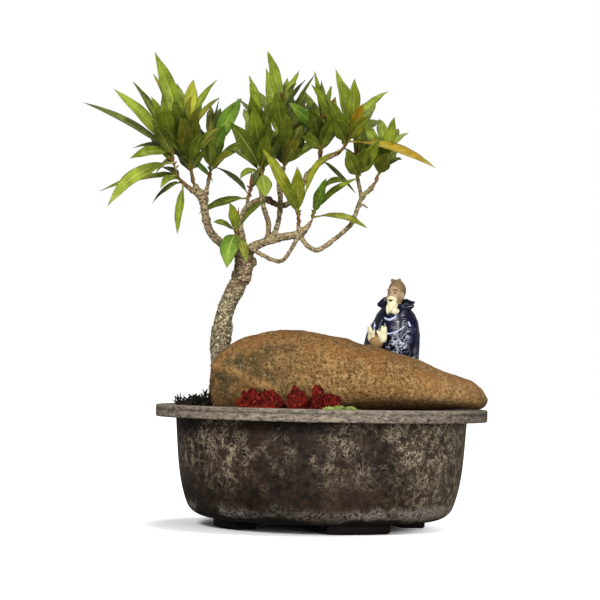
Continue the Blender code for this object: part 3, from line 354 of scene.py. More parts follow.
# The figure's parts in its own millimetres, by glaze: a ball's centre and half widths, or a tube's points,
# each with its radius as the fourth number
FIGURE_PARTS = (
    ("blue", (-10.5, 0, 61, 4), (-12.6, -4, 52, 5.2), (-11, -10, 45, 5.6), (-8, -14.5, 47, 4.4)),
    ("blue", (11, 0, 61, 4.2), (12.4, -4, 52, 5.4), (10.5, -9, 44, 6), (3.4, -14.5, 47, 4.6)),
    ("blue", (9, -9.5, 44, 5.2), (9.6, -9, 31, 4.6), (9, -8, 18, 2.6)),
    ("blue", (-8.5, -10.5, 42, 4.6), (-8, -9.5, 30, 3.6), (-7.5, -8, 18, 2.2)),
    ("fruit", (-4.6, -16.6, 46.8), (4.6, 4.2, 4.4)),
    ("cream", (-8, -17.2, 49.8), (2.6, 2.2, 3.6)),
    ("cream", (0.4, -17.4, 49.8), (2.6, 2.2, 3.6)),
    ("cream", (-8.6, -17.6, 51, 1.3), (-9.4, -18.2, 54, 1.25), (-9.8, -18.4, 56.4, 0.6)),
    ("cream", (-7.4, -18.4, 51, 1.3), (-7.6, -19.2, 54, 1.25), (-8, -19.4, 56.8, 0.6)),
    ("cream", (-6.4, -18.6, 50, 1.3), (-5.2, -19.8, 52.6, 1.2), (-4.6, -20.4, 54, 0.6)),
    ("cream", (1.4, -17.6, 51, 1.3), (2.2, -18.2, 54, 1.25), (2.6, -18.4, 56.6, 0.6)),
    ("cream", (0.2, -18.4, 51, 1.3), (0.6, -19.2, 54, 1.25), (0.8, -19.4, 57, 0.6)),
    ("cream", (-0.8, -18.6, 50, 1.3), (-1.8, -19.8, 52.6, 1.2), (-2.4, -20.4, 54, 0.6)),
    ("skin", (0.8, -2.5, 76.7), (4.9, 5.8, 7.3)),
    ("skin", (-4.1, -1.8, 76.4), (0.9, 1.3, 2.1)),
    ("skin", (5.8, -1.8, 76.4), (0.9, 1.3, 2.1)),
    ("skin", (0.8, -7.7, 78.8, 0.5), (0.8, -8.5, 77.2, 0.65), (0.8, -8.8, 75.9, 0.95)),
    ("skin", (-2, -6.4, 75), (1.7, 1.4, 1.5)),
    ("skin", (3.6, -6.4, 75), (1.7, 1.4, 1.5)),
    ("dark", (-1.4, -7.45, 78.2), (0.85, 0.5, 0.4)),
    ("dark", (3, -7.45, 78.2), (0.85, 0.5, 0.4)),
    ("hair", (-2.8, -6.9, 79.8, 0.4), (-1.4, -7.7, 80.2, 0.5), (-0.3, -7.8, 79.8, 0.35)),
    ("hair", (4.4, -6.9, 79.8, 0.4), (3, -7.7, 80.2, 0.5), (1.9, -7.8, 79.8, 0.35)),
    ("hair", (0.8, -0.2, 79.8), (5.5, 6.3, 6.7)),
    ("hair", (-2.4, -0.6, 86.2), (1.2, 1.5, 1.2)),
    ("hair", (2.2, 0.2, 86.6), (0.9, 1.2, 1)),
    ("hair", (0.2, 0.4, 86), (2, 2, 0.9)),
    ("dark", (0.8, -8.9, 73.3), (1.2, 0.6, 0.65)),
    ("cream", (-2.4, -7, 72.8, 0.7), (-1, -8.7, 74.4, 1), (0.8, -8.9, 74.7, 0.9), (2.6, -8.7, 74.4, 1),
     (4, -7, 72.8, 0.7)),
    ("cream", (0.8, -6.6, 70.6), (3.4, 2.8, 3.4)),
    ("cream", (0.5, -8, 68.6), (2.6, 2.4, 3.4)),
    ("cream", (-1, -8.6, 70, 1.3), (-0.8, -10, 67, 1), (-0.6, -10.6, 64.6, 0.4)),
    ("cream", (2, -8.6, 70, 1.3), (1.6, -10, 67.4, 1), (1, -10.4, 65.4, 0.4)),
    ("cream", (3.6, -7.4, 66), (2.6, 2.2, 2.2)),
    # Pale streaks: partly frosted thin glaze, partly painted highlights
    ("frost", (-4.4, -7.6, 64.6, 0.4), (-1.6, -10.4, 61.6, 0.5), (2.6, -10.6, 61.4, 0.5),
     (6.2, -7.8, 64.8, 0.4)),
    ("navy", (-3.8, 3, 74.6, 1.7), (-8, 0.6, 74, 1.9), (-12.4, -1.8, 70.8, 0.7)),
    ("navy", (-4, -1, 70.5, 2.4), (-8, -1.5, 70.6, 2.4), (-12.2, -1.8, 70.4, 0.7)),
    ("navy", (-4.5, 4, 72, 1.8), (0.8, 6.2, 73, 2), (6, 4, 72, 1.8)),
    ("navy", (5.2, 3, 73.4, 1.7), (9.4, 1.4, 72.2, 1.5), (13.2, 0.2, 72.4, 0.6)),
    ("navy", (5.4, 0, 70.4, 2), (9.6, 0, 69.4, 1.8), (12.8, 0, 70.2, 0.7)),
    ("navy", (-2.4, -10.4, 59, 1), (-1.2, -11.6, 50, 1), (0, -12.6, 38, 0.8)),
    # More pale streaks along the sleeve, its drape and the hem: frosted thin glaze and painted highlights
    ("frost", (-0.4, -17, 52.6, 0.45), (4, -16.6, 52, 0.6), (8, -13.4, 53.6, 0.6), (11.6, -9.6, 57, 0.45)),
    ("frost", (12.6, -6.6, 60, 0.35), (15.2, -6.6, 52, 0.5), (14.6, -10.4, 44, 0.4)),
    ("frost", (2.6, -17.6, 44, 0.35), (6.6, -15, 41.6, 0.55), (4.8, -15.4, 38, 0.5), (9, -13.6, 36.6, 0.55),
     (7.2, -14, 32.6, 0.5), (11.6, -12.4, 31.4, 0.45)),
    ("frost", (8.6, -15, 44.6, 0.3), (11.2, -13.6, 41, 0.5), (10.6, -13.6, 37.4, 0.4)),
    ("frost", (3.4, -13.6, 34, 0.35), (4.2, -13.4, 30, 0.5), (3.6, -13.2, 24, 0.35)),
    ("frost", (-11.6, -6.2, 60.5, 0.3), (-9.8, -10.4, 56, 0.5), (-8.2, -12, 52.6, 0.35)),
)

# Knots where shoots have been pruned: x, depth, z and radius
KNOTS = (
    (-77.2, 18.6, 200, 3.3), (-79.6, 17.6, 203.4, 3.1), (-82, 16.6, 206.4, 2.4), (-84.2, 14.8, 205.2, 2.3),
    (-75.8, 23.5, 204, 2.2), (-37, 38, 200.2, 2.6), (-13.6, 33, 215.8, 2.5), (-42, 17.6, 210, 2.3),
    (-29.6, 30, 214.5, 2.3), (-15.4, 21.8, 181.6, 2.7), (-17.8, 22.4, 179.2, 2.7), (-57.5, 28.6, 169.4, 4.2),
    (20.6, 20, 203.8, 2.3), (26, 20, 208.8, 2), (-31, 24.5, 177.2, 3.1), (-75.5, 21, 187.5, 3),
)

# The camera's lift and roll in degrees, and the lamps: place, size and power
CAMERA_LIFT = 1.98
CAMERA_ROLL = 1.15
LAMPS = (
    ("key", (-0.55, -1.6, 0.95), 0.4, 37),
    ("fill", (0.85, -1.6, 0.18), 1, 33),
    ("back", (0.3, 0.9, 1.8), 0.9, 5),
)


def paint(red, green, blue):
    """A colour as a painter reads it from a screen, 0 to 255, made linear."""
    shares = [c / 255 for c in (red, green, blue)]
    return (*[c / 12.92 if c < 0.0404 else ((c + 0.055) / 1.055) ** 2.4 for c in shares], 1.0)


LEAF_PAINTS = {
    "d": paint(88, 101, 26),
    "g": paint(120, 135, 33),
    "c": paint(99, 135, 38),
    "l": paint(136, 149, 44),
    "y": paint(150, 152, 36),
    "o": paint(118, 116, 34),
    "b": paint(134, 100, 42),
    "a": paint(178, 140, 30),
}
STUB_PAINT = paint(122, 78, 44)
TWIG_PAINT = paint(112, 82, 50)
BUD_PAINT = paint(130, 84, 40)
PETIOLE_PAINT = paint(150, 136, 66)


def spot(x, depth, z):
    """The real place of a point seen at x, z in the front view, at that depth."""
    spread = 1 - depth * MM / EYE.y
    seen_x = (x + VIEW_X) * MM
    return Vector((EYE.x + (seen_x - EYE.x) * spread, depth * MM, EYE.z + (z * MM - EYE.z) * spread))


def read_off(outline, x):
    """The height of an outline at x, between its points."""
    for (x0, z0), (x1, z1) in zip(outline, outline[1:]):
        if x <= x1:
            share = max(0.0, (x - x0) / (x1 - x0))
            return z0 + (z1 - z0) * share
    return outline[-1][1]


def ease(low, high, value):
    """Rises smoothly from 0 at low to 1 at high."""
    share = min(1.0, max(0.0, (value - low) / (high - low)))
    return share * share * (3 - 2 * share)


# Node trees

def put(tree, kind, values=None, **settings):
    """Adds a node with its settings, its inputs set to values or linked from sockets."""
    made = tree.nodes.new(kind)
    for name, value in settings.items():
        setattr(made, name, value)
    for key, value in (values or {}).items():
        if isinstance(value, bpy.types.NodeSocket):
            tree.links.new(value, made.inputs[key])
        else:
            made.inputs[key].default_value = value
    return made


def node(tree, kind, values=None, **settings):
    """The first output of a node that is added with its settings and inputs."""
    return put(tree, kind, values, **settings).outputs[0]


def maths(tree, operation, *values, clamp=False):
    """The result of one Math node."""
    return node(tree, "ShaderNodeMath", dict(enumerate(values)), operation=operation, use_clamp=clamp)


def times(tree, first, second):
    """One number times another."""
    return maths(tree, "MULTIPLY", first, second)


def scaled(tree, vector, factor):
    """A vector times a number."""
    return node(tree, "ShaderNodeVectorMath", {0: vector, 3: factor}, operation="SCALE")


def ramped(tree, value, low, high, start=0.0, end=1.0):
    """A value taken smoothly from the range low to high to the range start to end."""
    values = {0: value, 1: low, 2: high, 3: start, 4: end}
    return node(tree, "ShaderNodeMapRange", values, interpolation_type="SMOOTHSTEP")


def mixed(tree, factor, first, second, blend="MIX"):
    """Two colours mixed by a factor."""
    values = {0: factor, 6: first, 7: second}
    return put(tree, "ShaderNodeMix", values, data_type="RGBA", blend_type=blend).outputs[2]


def laid(tree, colour, mask, share, tone, blend="MIX"):
    """A colour with a tone, read from a screen, laid over it by a share where the mask is."""
    return mixed(tree, times(tree, mask, share), colour, paint(*tone), blend)


def sockets(tree, in_out, rows):
    """Adds sockets to a group's interface: name, kind and, for an input, its default."""
    for name, kind, *default in rows:
        socket = tree.interface.new_socket(name, in_out=in_out, socket_type="NodeSocket" + kind)
        if default:
            socket.default_value = default[0]


def group_ends(tree):
    """The group's input sockets by name, and its output node."""
    source = tree.nodes.new("NodeGroupInput")
    target = tree.nodes.new("NodeGroupOutput")
    return {socket.name: socket for socket in source.outputs if socket.name}, target


def mask_group(tree, name, fill, **values):
    """The mask of a shader node group, which is built on its first use, placed with its own values."""
    group = bpy.data.node_groups.get(name)
    if group is None:
        group = bpy.data.node_groups.new(name, "ShaderNodeTree")
        rows = [(key, key) if key == "Vector" else (key, "Float", value) for key, value in values.items()]
        sockets(group, "INPUT", rows)
        sockets(group, "OUTPUT", [("Mask", "Float")])
        given, target = group_ends(group)
        group.links.new(fill(group, given), target.inputs["Mask"])
    return put(tree, "ShaderNodeGroup", values, node_tree=group).outputs["Mask"]


def noise_value(tree, vector, size, detail, roughness=0.6):
    """Noise whose features are about as large as size."""
    scale = maths(tree, "DIVIDE", 1.0, size)
    values = {"Vector": vector, "Scale": scale, "Detail": detail, "Roughness": roughness}
    return node(tree, "ShaderNodeTexNoise", values)


def blotches(tree, vector, size, low, high, detail=3.0):
    """A mask of soft-edged patches."""
    def fill(inner, given):
        value = noise_value(inner, given["Vector"], given["Size"], given["Detail"])
        return ramped(inner, value, given["Low"], given["High"])

    return mask_group(tree, "Blotches", fill, Vector=vector, Size=size, Detail=detail, Low=low, High=high)


def squiggles(tree, vector, size, width, detail=2.0):
    """A mask of thin winding lines, such as deposits, veins and cracks leave."""
    def fill(inner, given):
        value = noise_value(inner, given["Vector"], given["Size"], given["Detail"])
        away = maths(inner, "ABSOLUTE", maths(inner, "SUBTRACT", value, 0.5))
        return maths(inner, "SUBTRACT", 1.0, maths(inner, "DIVIDE", away, given["Width"]), clamp=True)

    return mask_group(tree, "Squiggles", fill, Vector=vector, Size=size, Detail=detail, Width=width)


def grains(tree, vector, size, share):
    """A mask of scattered grains that cover about the given share."""
    def fill(inner, given):
        scale = maths(inner, "DIVIDE", 1.0, given["Size"])
        cells = put(inner, "ShaderNodeTexVoronoi", {"Vector": given["Vector"], "Scale": scale})
        drawn = node(inner, "ShaderNodeSeparateColor", {0: cells.outputs["Color"]})
        chosen = maths(inner, "LESS_THAN", drawn, given["Share"])
        return times(inner, chosen, ramped(inner, cells.outputs["Distance"], 0.5, 0.3))

    return mask_group(tree, "Grains", fill, Vector=vector, Size=size, Share=share)


def surface(name):
    """A material with its tree, its Principled shader and its Object coordinates."""
    material = bpy.data.materials.new(name)
    material.use_nodes = True
    tree = material.node_tree
    shader = tree.nodes["Principled BSDF"]
    place = put(tree, "ShaderNodeTexCoord").outputs["Object"]
    centred = node(tree, "ShaderNodeMapping", {"Vector": place, "Location": -SLIDE})
    return material, tree, shader, centred


def read_attribute(tree, name, output="Fac"):
    """A named attribute of the mesh: Fac for a number, Color for a colour."""
    return put(tree, "ShaderNodeAttribute", attribute_name=name).outputs[output]


def finish_surface(tree, shader, colour, roughness, height=None, depth=0.0002, strength=0.6, shine=0.12):
    """Links a colour, a roughness and a bump height to the Principled shader, and sets how much it shines."""
    shader.inputs["Specular IOR Level"].default_value = shine
    tree.links.new(colour, shader.inputs["Base Color"])
    if isinstance(roughness, bpy.types.NodeSocket):
        tree.links.new(roughness, shader.inputs["Roughness"])
    else:
        shader.inputs["Roughness"].default_value = roughness
    if height is not None:
        values = {"Height": height, "Distance": depth, "Strength": strength}
        tree.links.new(node(tree, "ShaderNodeBump", values), shader.inputs["Normal"])


# Meshes

def as_object(name, shape):
    """A linked object from a bmesh, with its faces turned out."""
    bmesh.ops.recalc_face_normals(shape, faces=shape.faces)
    mesh = bpy.data.meshes.new(name)
    shape.to_mesh(mesh)
    shape.free()
    return shown(name, mesh)


def shown(name, mesh):
    """A linked object that holds a mesh."""
    thing = bpy.data.objects.new(name, mesh)
    bpy.context.scene.collection.objects.link(thing)
    return thing


def bridge(shape, low, high):
    """Side faces between two rings of the same count."""
    count = len(low)
    for i in range(count):
        j = (i + 1) % count
        shape.faces.new((low[i], low[j], high[j], high[i]))


def fan(shape, ring, point):
    """Faces from a ring to one point."""
    for i, vertex in enumerate(ring):
        shape.faces.new((vertex, ring[(i + 1) % len(ring)], point))


def add_tube(shape, points, radii, sides):
    """A closed tube through the points, with flat ends square to it."""
    across = (points[1] - points[0]).orthogonal()
    rings = []
    for i, (centre, radius) in enumerate(zip(points, radii)):
        ahead = (points[min(i + 1, len(points) - 1)] - points[max(i - 1, 0)]).normalized()
        across = (across - ahead * across.dot(ahead)).normalized()
        upward = ahead.cross(across)
        angles = [TURN * k / sides for k in range(sides)]
        rings.append([
            shape.verts.new(centre + (across * math.cos(a) + upward * math.sin(a)) * radius) for a in angles
        ])
    for low, high in zip(rings, rings[1:]):
        bridge(shape, low, high)
    shape.faces.new(rings[0])
    shape.faces.new(rings[-1])


def add_ball(shape, centre, radii, around=24, rows=16):
    """A closed ellipsoid with its poles on Z."""
    place = Matrix.Translation(centre) @ Matrix.Diagonal((*radii, 1.0))
    bmesh.ops.create_uvsphere(shape, u_segments=around, v_segments=rows, radius=1.0, matrix=place)


def eased_path(points, radii, step):
    """A path and its radii drawn again as a smooth curve with points about a step apart."""
    ends = [points[0] * 2 - points[1], *points, points[-1] * 2 - points[-2]]
    made, thick = [], []
    for i in range(len(points) - 1):
        a, b, c, d = ends[i:i + 4]
        square, cube = a * 2 - b * 5 + c * 4 - d, b * 3 - a - c * 3 + d
        count = max(1, round((c - b).length / step))
        for k in range(count):
            t = k / count
            made.append(0.5 * (b * 2 + (c - a) * t + square * t ** 2 + cube * t ** 3))
            thick.append(radii[i] + (radii[i + 1] - radii[i]) * t)
    return made + [points[-1].copy()], thick + [radii[-1]]


def evaluated(thing, name):
    """A plain object with what a thing's modifiers make of it; the thing itself is removed."""
    graph = bpy.context.evaluated_depsgraph_get()
    mesh = bpy.data.meshes.new_from_object(
        thing.evaluated_get(graph), preserve_all_data_layers=True, depsgraph=graph
    )
    thing.modifiers.clear()
    bpy.data.objects.remove(thing, do_unlink=True)
    mesh.name = name
    return shown(name, mesh)


def grown(name, mesh, tree, values):
    """Runs a Geometry Nodes tree on a mesh and keeps the result as a plain object."""
    thing = shown(name + "_seed", mesh)
    modifier = thing.modifiers.new(tree.name, "NODES")
    modifier.node_group = tree
    for item in tree.interface.items_tree:
        if item.item_type == "SOCKET" and item.in_out == "INPUT" and item.name in values:
            modifier[item.identifier] = values[item.name]
    return evaluated(thing, name)


def remeshed(name, shape, voxel):
    """Grows overlapping closed bodies together into one even skin."""
    thing = as_object(name + "_parts", shape)
    modifier = thing.modifiers.new("skin", "REMESH")
    modifier.mode = "VOXEL"
    modifier.voxel_size = voxel
    smooth = thing.modifiers.new("smooth", "SMOOTH")
    smooth.iterations = 2
    return evaluated(thing, name)


def store(mesh, name, kind, values):
    """Stores one value for each vertex, a number, a vector or a colour."""
    layer = mesh.attributes.new(name, kind, "POINT")
    key = {"FLOAT": "value", "FLOAT_VECTOR": "vector", "FLOAT_COLOR": "color"}[kind]
    flat = values if kind == "FLOAT" else [part for value in values for part in value]
    layer.data.foreach_set(key, flat)


def settle(piece, slot, *nodes):
    """Slides a finished piece to its place, gives it to the body and hides the imported parts that it stands
    for; its slot is not used.
    """
    piece.data.transform(Matrix.Translation(SLIDE))
    piece.data.update()
    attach(piece, "root")
    if nodes:
        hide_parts(*nodes)


def dress(piece, *materials):
    """Gives a piece its materials and smooth shading."""
    piece.data.materials.clear()
    for material in materials:
        piece.data.materials.append(material)
    piece.data.shade_smooth()


# Leaves

def shoot_path(limb, rows):
    """A shoot's points and radii, begun inside the end of its limb so that the two look grown together."""
    before, end = (spot(*row[:3]) for row in LIMBS[limb][-2:])
    ahead = (end - before).normalized()
    thick = LIMBS[limb][-1][3]
    points = [end + ahead * 0.3 * MM, end + ahead * 2.0 * MM] + [spot(*row[:3]) for row in rows]
    return points, [r * MM for r in (thick, thick, *[row[3] for row in rows])]


def nearest_on(points, x, z):
    """The place on a path that the front view shows nearest to x, z."""
    best = None
    for a, b in zip(points, points[1:]):
        for k in range(9):
            place = a.lerp(b, k / 8)
            aim = spot(x, place.y / MM, z)
            away = (place - aim).length
            if best is None or away < best[0]:
                best = (away, place)
    return best[1]


def leaf_lines(points, row):
    """A leaf's foot, chord, arch, side direction, upper side and half width, from its row in the table."""
    foot_x, foot_z, tip_x, tip_z, seen, reach, arch = row
    foot = nearest_on(points, foot_x, foot_z)
    flat = spot(tip_x, foot.y / MM, tip_z)
    behind = math.sqrt(max(0.0, reach * reach - ((flat - foot).length / MM) ** 2))
    tip = spot(tip_x, foot.y / MM + math.copysign(behind, reach), tip_z)
    chord = tip - foot
    ahead = chord.normalized()
    rise = (UP - ahead * UP.dot(ahead)).normalized() * arch * MM
    width = max(abs(seen), min(BROADEST, max(NARROWEST, SLIM * abs(reach))))
    level = ahead.cross(VIEW_LINE).normalized()
    square = level.cross(ahead)
    lean = math.acos(min(1.0, abs(seen) / width))
    faces = []
    for way in (1, -1):
        side = level * math.cos(lean) + square * math.sin(lean) * way
        face = side.cross(ahead)
        if (face.dot(VIEW_LINE) > 0) == (seen > 0):
            side, face = -side, -face
        faces.append((face.z, side, face))
    _, side, face = max(faces, key=lambda option: option[0])
    return foot, chord, rise, side, face, width / 2 * MM


def leaf_share(t):
    """The blade's half width along the leaf, as a share of the widest."""
    u = (t - PETIOLE_SHARE) / (1 - PETIOLE_SHARE)
    if u <= 0:
        return 0.0
    return (u / WIDEST_AT) ** FOOT_CURVE * ((1 - u) / (1 - WIDEST_AT)) ** TIP_CURVE


def shoot_lines(name, limb, letters, rows, leaves):
    """The midribs, petioles, stem and end bud of a shoot as polylines that carry their own sizes."""
    draw = random.Random(name)
    points, radii = shoot_path(limb, rows)
    verts, edges, rib, ways, along, tints, seeds = [], [], [], [], [], [], []

    def line(places, widths, sides, shares, colour, blade, seed):
        start = len(verts)
        verts.extend(places)
        edges.extend((start + i, start + i + 1) for i in range(len(places) - 1))
        rib.extend(widths)
        ways.extend(sides)
        along.extend(shares)
        tints.extend([(*colour[:3], blade)] * len(places))
        seeds.extend([seed] * len(places))

    stem, thick = eased_path([points[0] - (points[1] - points[0]).normalized() * 2.5 * MM, *points],
                             [radii[0] * 0.8, *radii], 1.2 * MM)
    scars = [1 + 0.10 * math.sin(i * 1.9 + 1.3 * math.sin(i * 0.7)) for i in range(len(stem))]
    ringed = [r * s for r, s in zip(thick, scars)]
    line(stem, ringed, [UP] * len(stem), [0.0] * len(stem), TWIG_PAINT, 0.0, 0.0)
    for _ in range(STUBS):
        k = draw.randrange(len(stem) // 5, len(stem) - 1)
        angle = draw.uniform(0, TURN)
        out = Vector((math.cos(angle), math.sin(angle), draw.uniform(0.3, 1.4))).normalized()
        stub = [stem[k] + out * (thick[k] * 0.6 + far * MM) for far in (0.0, 0.7, draw.uniform(1.3, 2.3))]
        line(stub, [r * MM for r in (0.85, 0.8, 0.45)], [UP] * 3, [0.0] * 3, STUB_PAINT, 0.0, draw.random())
    bud_way = (points[-1] - points[-2]).normalized()
    bud = [points[-1] + bud_way * length * MM for length in (-1.5, 0.5, 3.0, 6.0, 9.0)]
    line(bud, [r * MM for r in (0.5, 1.0, 0.9, 0.5, 0.06)], [UP] * 5, [0.0] * 5, BUD_PAINT, 0.0, 0.1)

    for row, letter in zip(leaves, letters):
        foot, chord, rise, side, face, half = leaf_lines(points, row)
        seed = draw.random()
        colour = LEAF_PAINTS[letter]
        curl = draw.uniform(0.0, 1.0)

        def middle(t):
            droop = 0.9 * MM * curl * max(0.0, t - 0.7) / 0.3
            return foot + chord * t + rise * 4 * t * (1 - t) - face * droop

        def way(t):
            ahead = (chord + rise * 4 * (1 - 2 * t)).normalized()
            across = (side - ahead * side.dot(ahead)).normalized()
            upper = across.cross(ahead)
            upper = upper if upper.dot(face) > 0 else -upper
            return upper.cross(ahead)

        begin = PETIOLE_SHARE * 0.8
        shares = [begin + (1 - begin) * (k / LEAF_STEPS) for k in range(LEAF_STEPS)] + [0.985, 1.0]
        widths = [max(THINNEST, SWELL * half * leaf_share(t)) for t in shares]
        line([middle(t) for t in shares], widths, [way(t) for t in shares], shares, colour, 1.0, seed)
        stalk = [0.0, 0.04, 0.08, 0.12, 0.17]
        mid = tuple((a + b) / 2 for a, b in zip(PETIOLE_PAINT, colour))
        slim = [r * MM for r in (0.8, 0.68, 0.6, 0.5, 0.22)]
        line([middle(t) for t in stalk], slim, [UP] * 5, [0.0] * 5, mid, 0.0, seed)

    mesh = bpy.data.meshes.new(name + "_lines")
    mesh.from_pydata(verts, edges, [])
    store(mesh, "half_width", "FLOAT", rib)
    store(mesh, "side_way", "FLOAT_VECTOR", ways)
    store(mesh, "along", "FLOAT", along)
    store(mesh, "tint", "FLOAT_COLOR", tints)
    store(mesh, "blade", "FLOAT", [tint[3] for tint in tints])
    store(mesh, "seed", "FLOAT", seeds)
    return mesh


def field(tree, name, kind="FLOAT"):
    """A named attribute read inside a Geometry Nodes tree."""
    return node(tree, "GeometryNodeInputNamedAttribute", {0: name}, data_type=kind)


def kept(tree, geometry, name, value, kind="FLOAT", domain="POINT"):
    """Stores a field under a name."""
    values = {"Geometry": geometry, "Name": name, "Value": value}
    return node(tree, "GeometryNodeStoreNamedAttribute", values, data_type=kind, domain=domain)


def leaf_section(tree, given):
    """The blade's cross-section: a thin lens, folded along a midrib that stands out underneath."""
    values = {"Resolution": given["Section Points"], "Radius": 1.0}
    circle = node(tree, "GeometryNodeCurvePrimitiveCircle", values)
    x, y, _ = put(tree, "ShaderNodeSeparateXYZ", {0: node(tree, "GeometryNodeInputPosition")}).outputs
    size = maths(tree, "ABSOLUTE", x)
    out = times(tree, x, maths(tree, "POWER", size, 0.45))
    away = maths(tree, "ABSOLUTE", out)
    lift = times(tree, given["Fold"], maths(tree, "POWER", away, 1.2))
    arch = times(tree, given["Crown"], maths(tree, "SINE", times(tree, away, math.pi)))
    rib = maths(tree, "SUBTRACT", 1.0, maths(tree, "DIVIDE", away, 0.10), clamp=True)
    under = maths(tree, "LESS_THAN", y, 0.0)
    dip = times(tree, rib, maths(tree, "MULTIPLY_ADD", under, 0.10, 0.035))
    thick = times(tree, y, given["Thickness"])
    up = maths(tree, "SUBTRACT", maths(tree, "ADD", maths(tree, "ADD", lift, arch), thick), dip)
    new = node(tree, "ShaderNodeCombineXYZ", {0: out, 1: up})
    section = kept(tree, circle, "across", out)
    section = kept(tree, section, "top", maths(tree, "GREATER_THAN", y, 0.0))
    return node(tree, "GeometryNodeSetPosition", {"Geometry": section, "Position": new})


def swept(tree, lines, section, selection):
    """Chosen polylines with a section drawn along them at their own half width."""
    curve = node(tree, "GeometryNodeMeshToCurve", {"Mesh": lines, "Selection": selection})
    values = {"Curve": curve, "Normal": field(tree, "side_way", "FLOAT_VECTOR")}
    turned = node(tree, "GeometryNodeSetCurveNormal", values, mode="FREE")
    width = field(tree, "half_width")
    values = {"Curve": turned, "Profile Curve": section, "Scale": width, "Fill Caps": True}
    return node(tree, "GeometryNodeCurveToMesh", values)


def shoot_tree():
    """The Geometry Nodes tree that grows blades, petioles and stems from a shoot's polylines."""
    tree = bpy.data.node_groups.new("Leafy shoot", "GeometryNodeTree")
    sockets(tree, "INPUT", [
        ("Geometry", "Geometry"), ("Section Points", "Int", 20),
        ("Stem Sides", "Int", 9), ("Fold", "Float", 0.24), ("Crown", "Float", 0.07),
        ("Thickness", "Float", 0.045), ("Wave", "Float", 0.00025),
        ("Leaf", "Material"), ("Twig", "Material"),
    ])
    sockets(tree, "OUTPUT", [("Geometry", "Geometry")])
    given, target = group_ends(tree)
    is_blade = maths(tree, "GREATER_THAN", field(tree, "blade"), 0.5)
    blades = swept(tree, given["Geometry"], leaf_section(tree, given), is_blade)
    along, across, seed = (field(tree, name) for name in ("along", "across", "seed"))
    beat = maths(tree, "MULTIPLY_ADD", along, 15.0, times(tree, seed, 40.0))
    beat = maths(tree, "ADD", beat, times(tree, across, 1.4))
    swing = times(tree, maths(tree, "SINE", beat), times(tree, across, across))
    swing = times(tree, swing, given["Wave"])
    offset = scaled(tree, node(tree, "GeometryNodeInputNormal"), swing)
    top = maths(tree, "MULTIPLY_ADD", field(tree, "top"), 2.0, -1.0)
    blades = node(tree, "GeometryNodeSetPosition", {"Geometry": blades, "Offset": scaled(tree, offset, top)})
    blades = node(tree, "GeometryNodeSetMaterial", {"Geometry": blades, "Material": given["Leaf"]})
    ring = node(tree, "GeometryNodeCurvePrimitiveCircle", {"Resolution": given["Stem Sides"], "Radius": 1.0})
    is_stem = maths(tree, "LESS_THAN", field(tree, "blade"), 0.5)
    stems = swept(tree, given["Geometry"], ring, is_stem)
    stems = node(tree, "GeometryNodeSetMaterial", {"Geometry": stems, "Material": given["Twig"]})
    joined = tree.nodes.new("GeometryNodeJoinGeometry")
    tree.links.new(blades, joined.inputs[0])
    tree.links.new(stems, joined.inputs[0])
    realized = node(tree, "GeometryNodeRealizeInstances", {"Geometry": joined.outputs[0]})
    smooth = node(tree, "GeometryNodeSetShadeSmooth", {"Geometry": realized})
    tree.links.new(smooth, target.inputs[0])
    return tree


def build_leaves(settings):
    """Each leafy shoot, grown from its row of the table."""
    tree, blade, twig = shoot_tree(), leaf_surface(settings), twig_surface()
    values = {"Section Points": settings.section, "Wave": settings.wave, "Leaf": blade, "Twig": twig}
    for name, (limb, letters, rows, leaves) in SHOOTS.items():
        mesh = shoot_lines(name, limb, letters, rows, leaves)
        settle(grown(name.replace("spray", "shoot"), mesh, tree, values), "leaf_green", name)


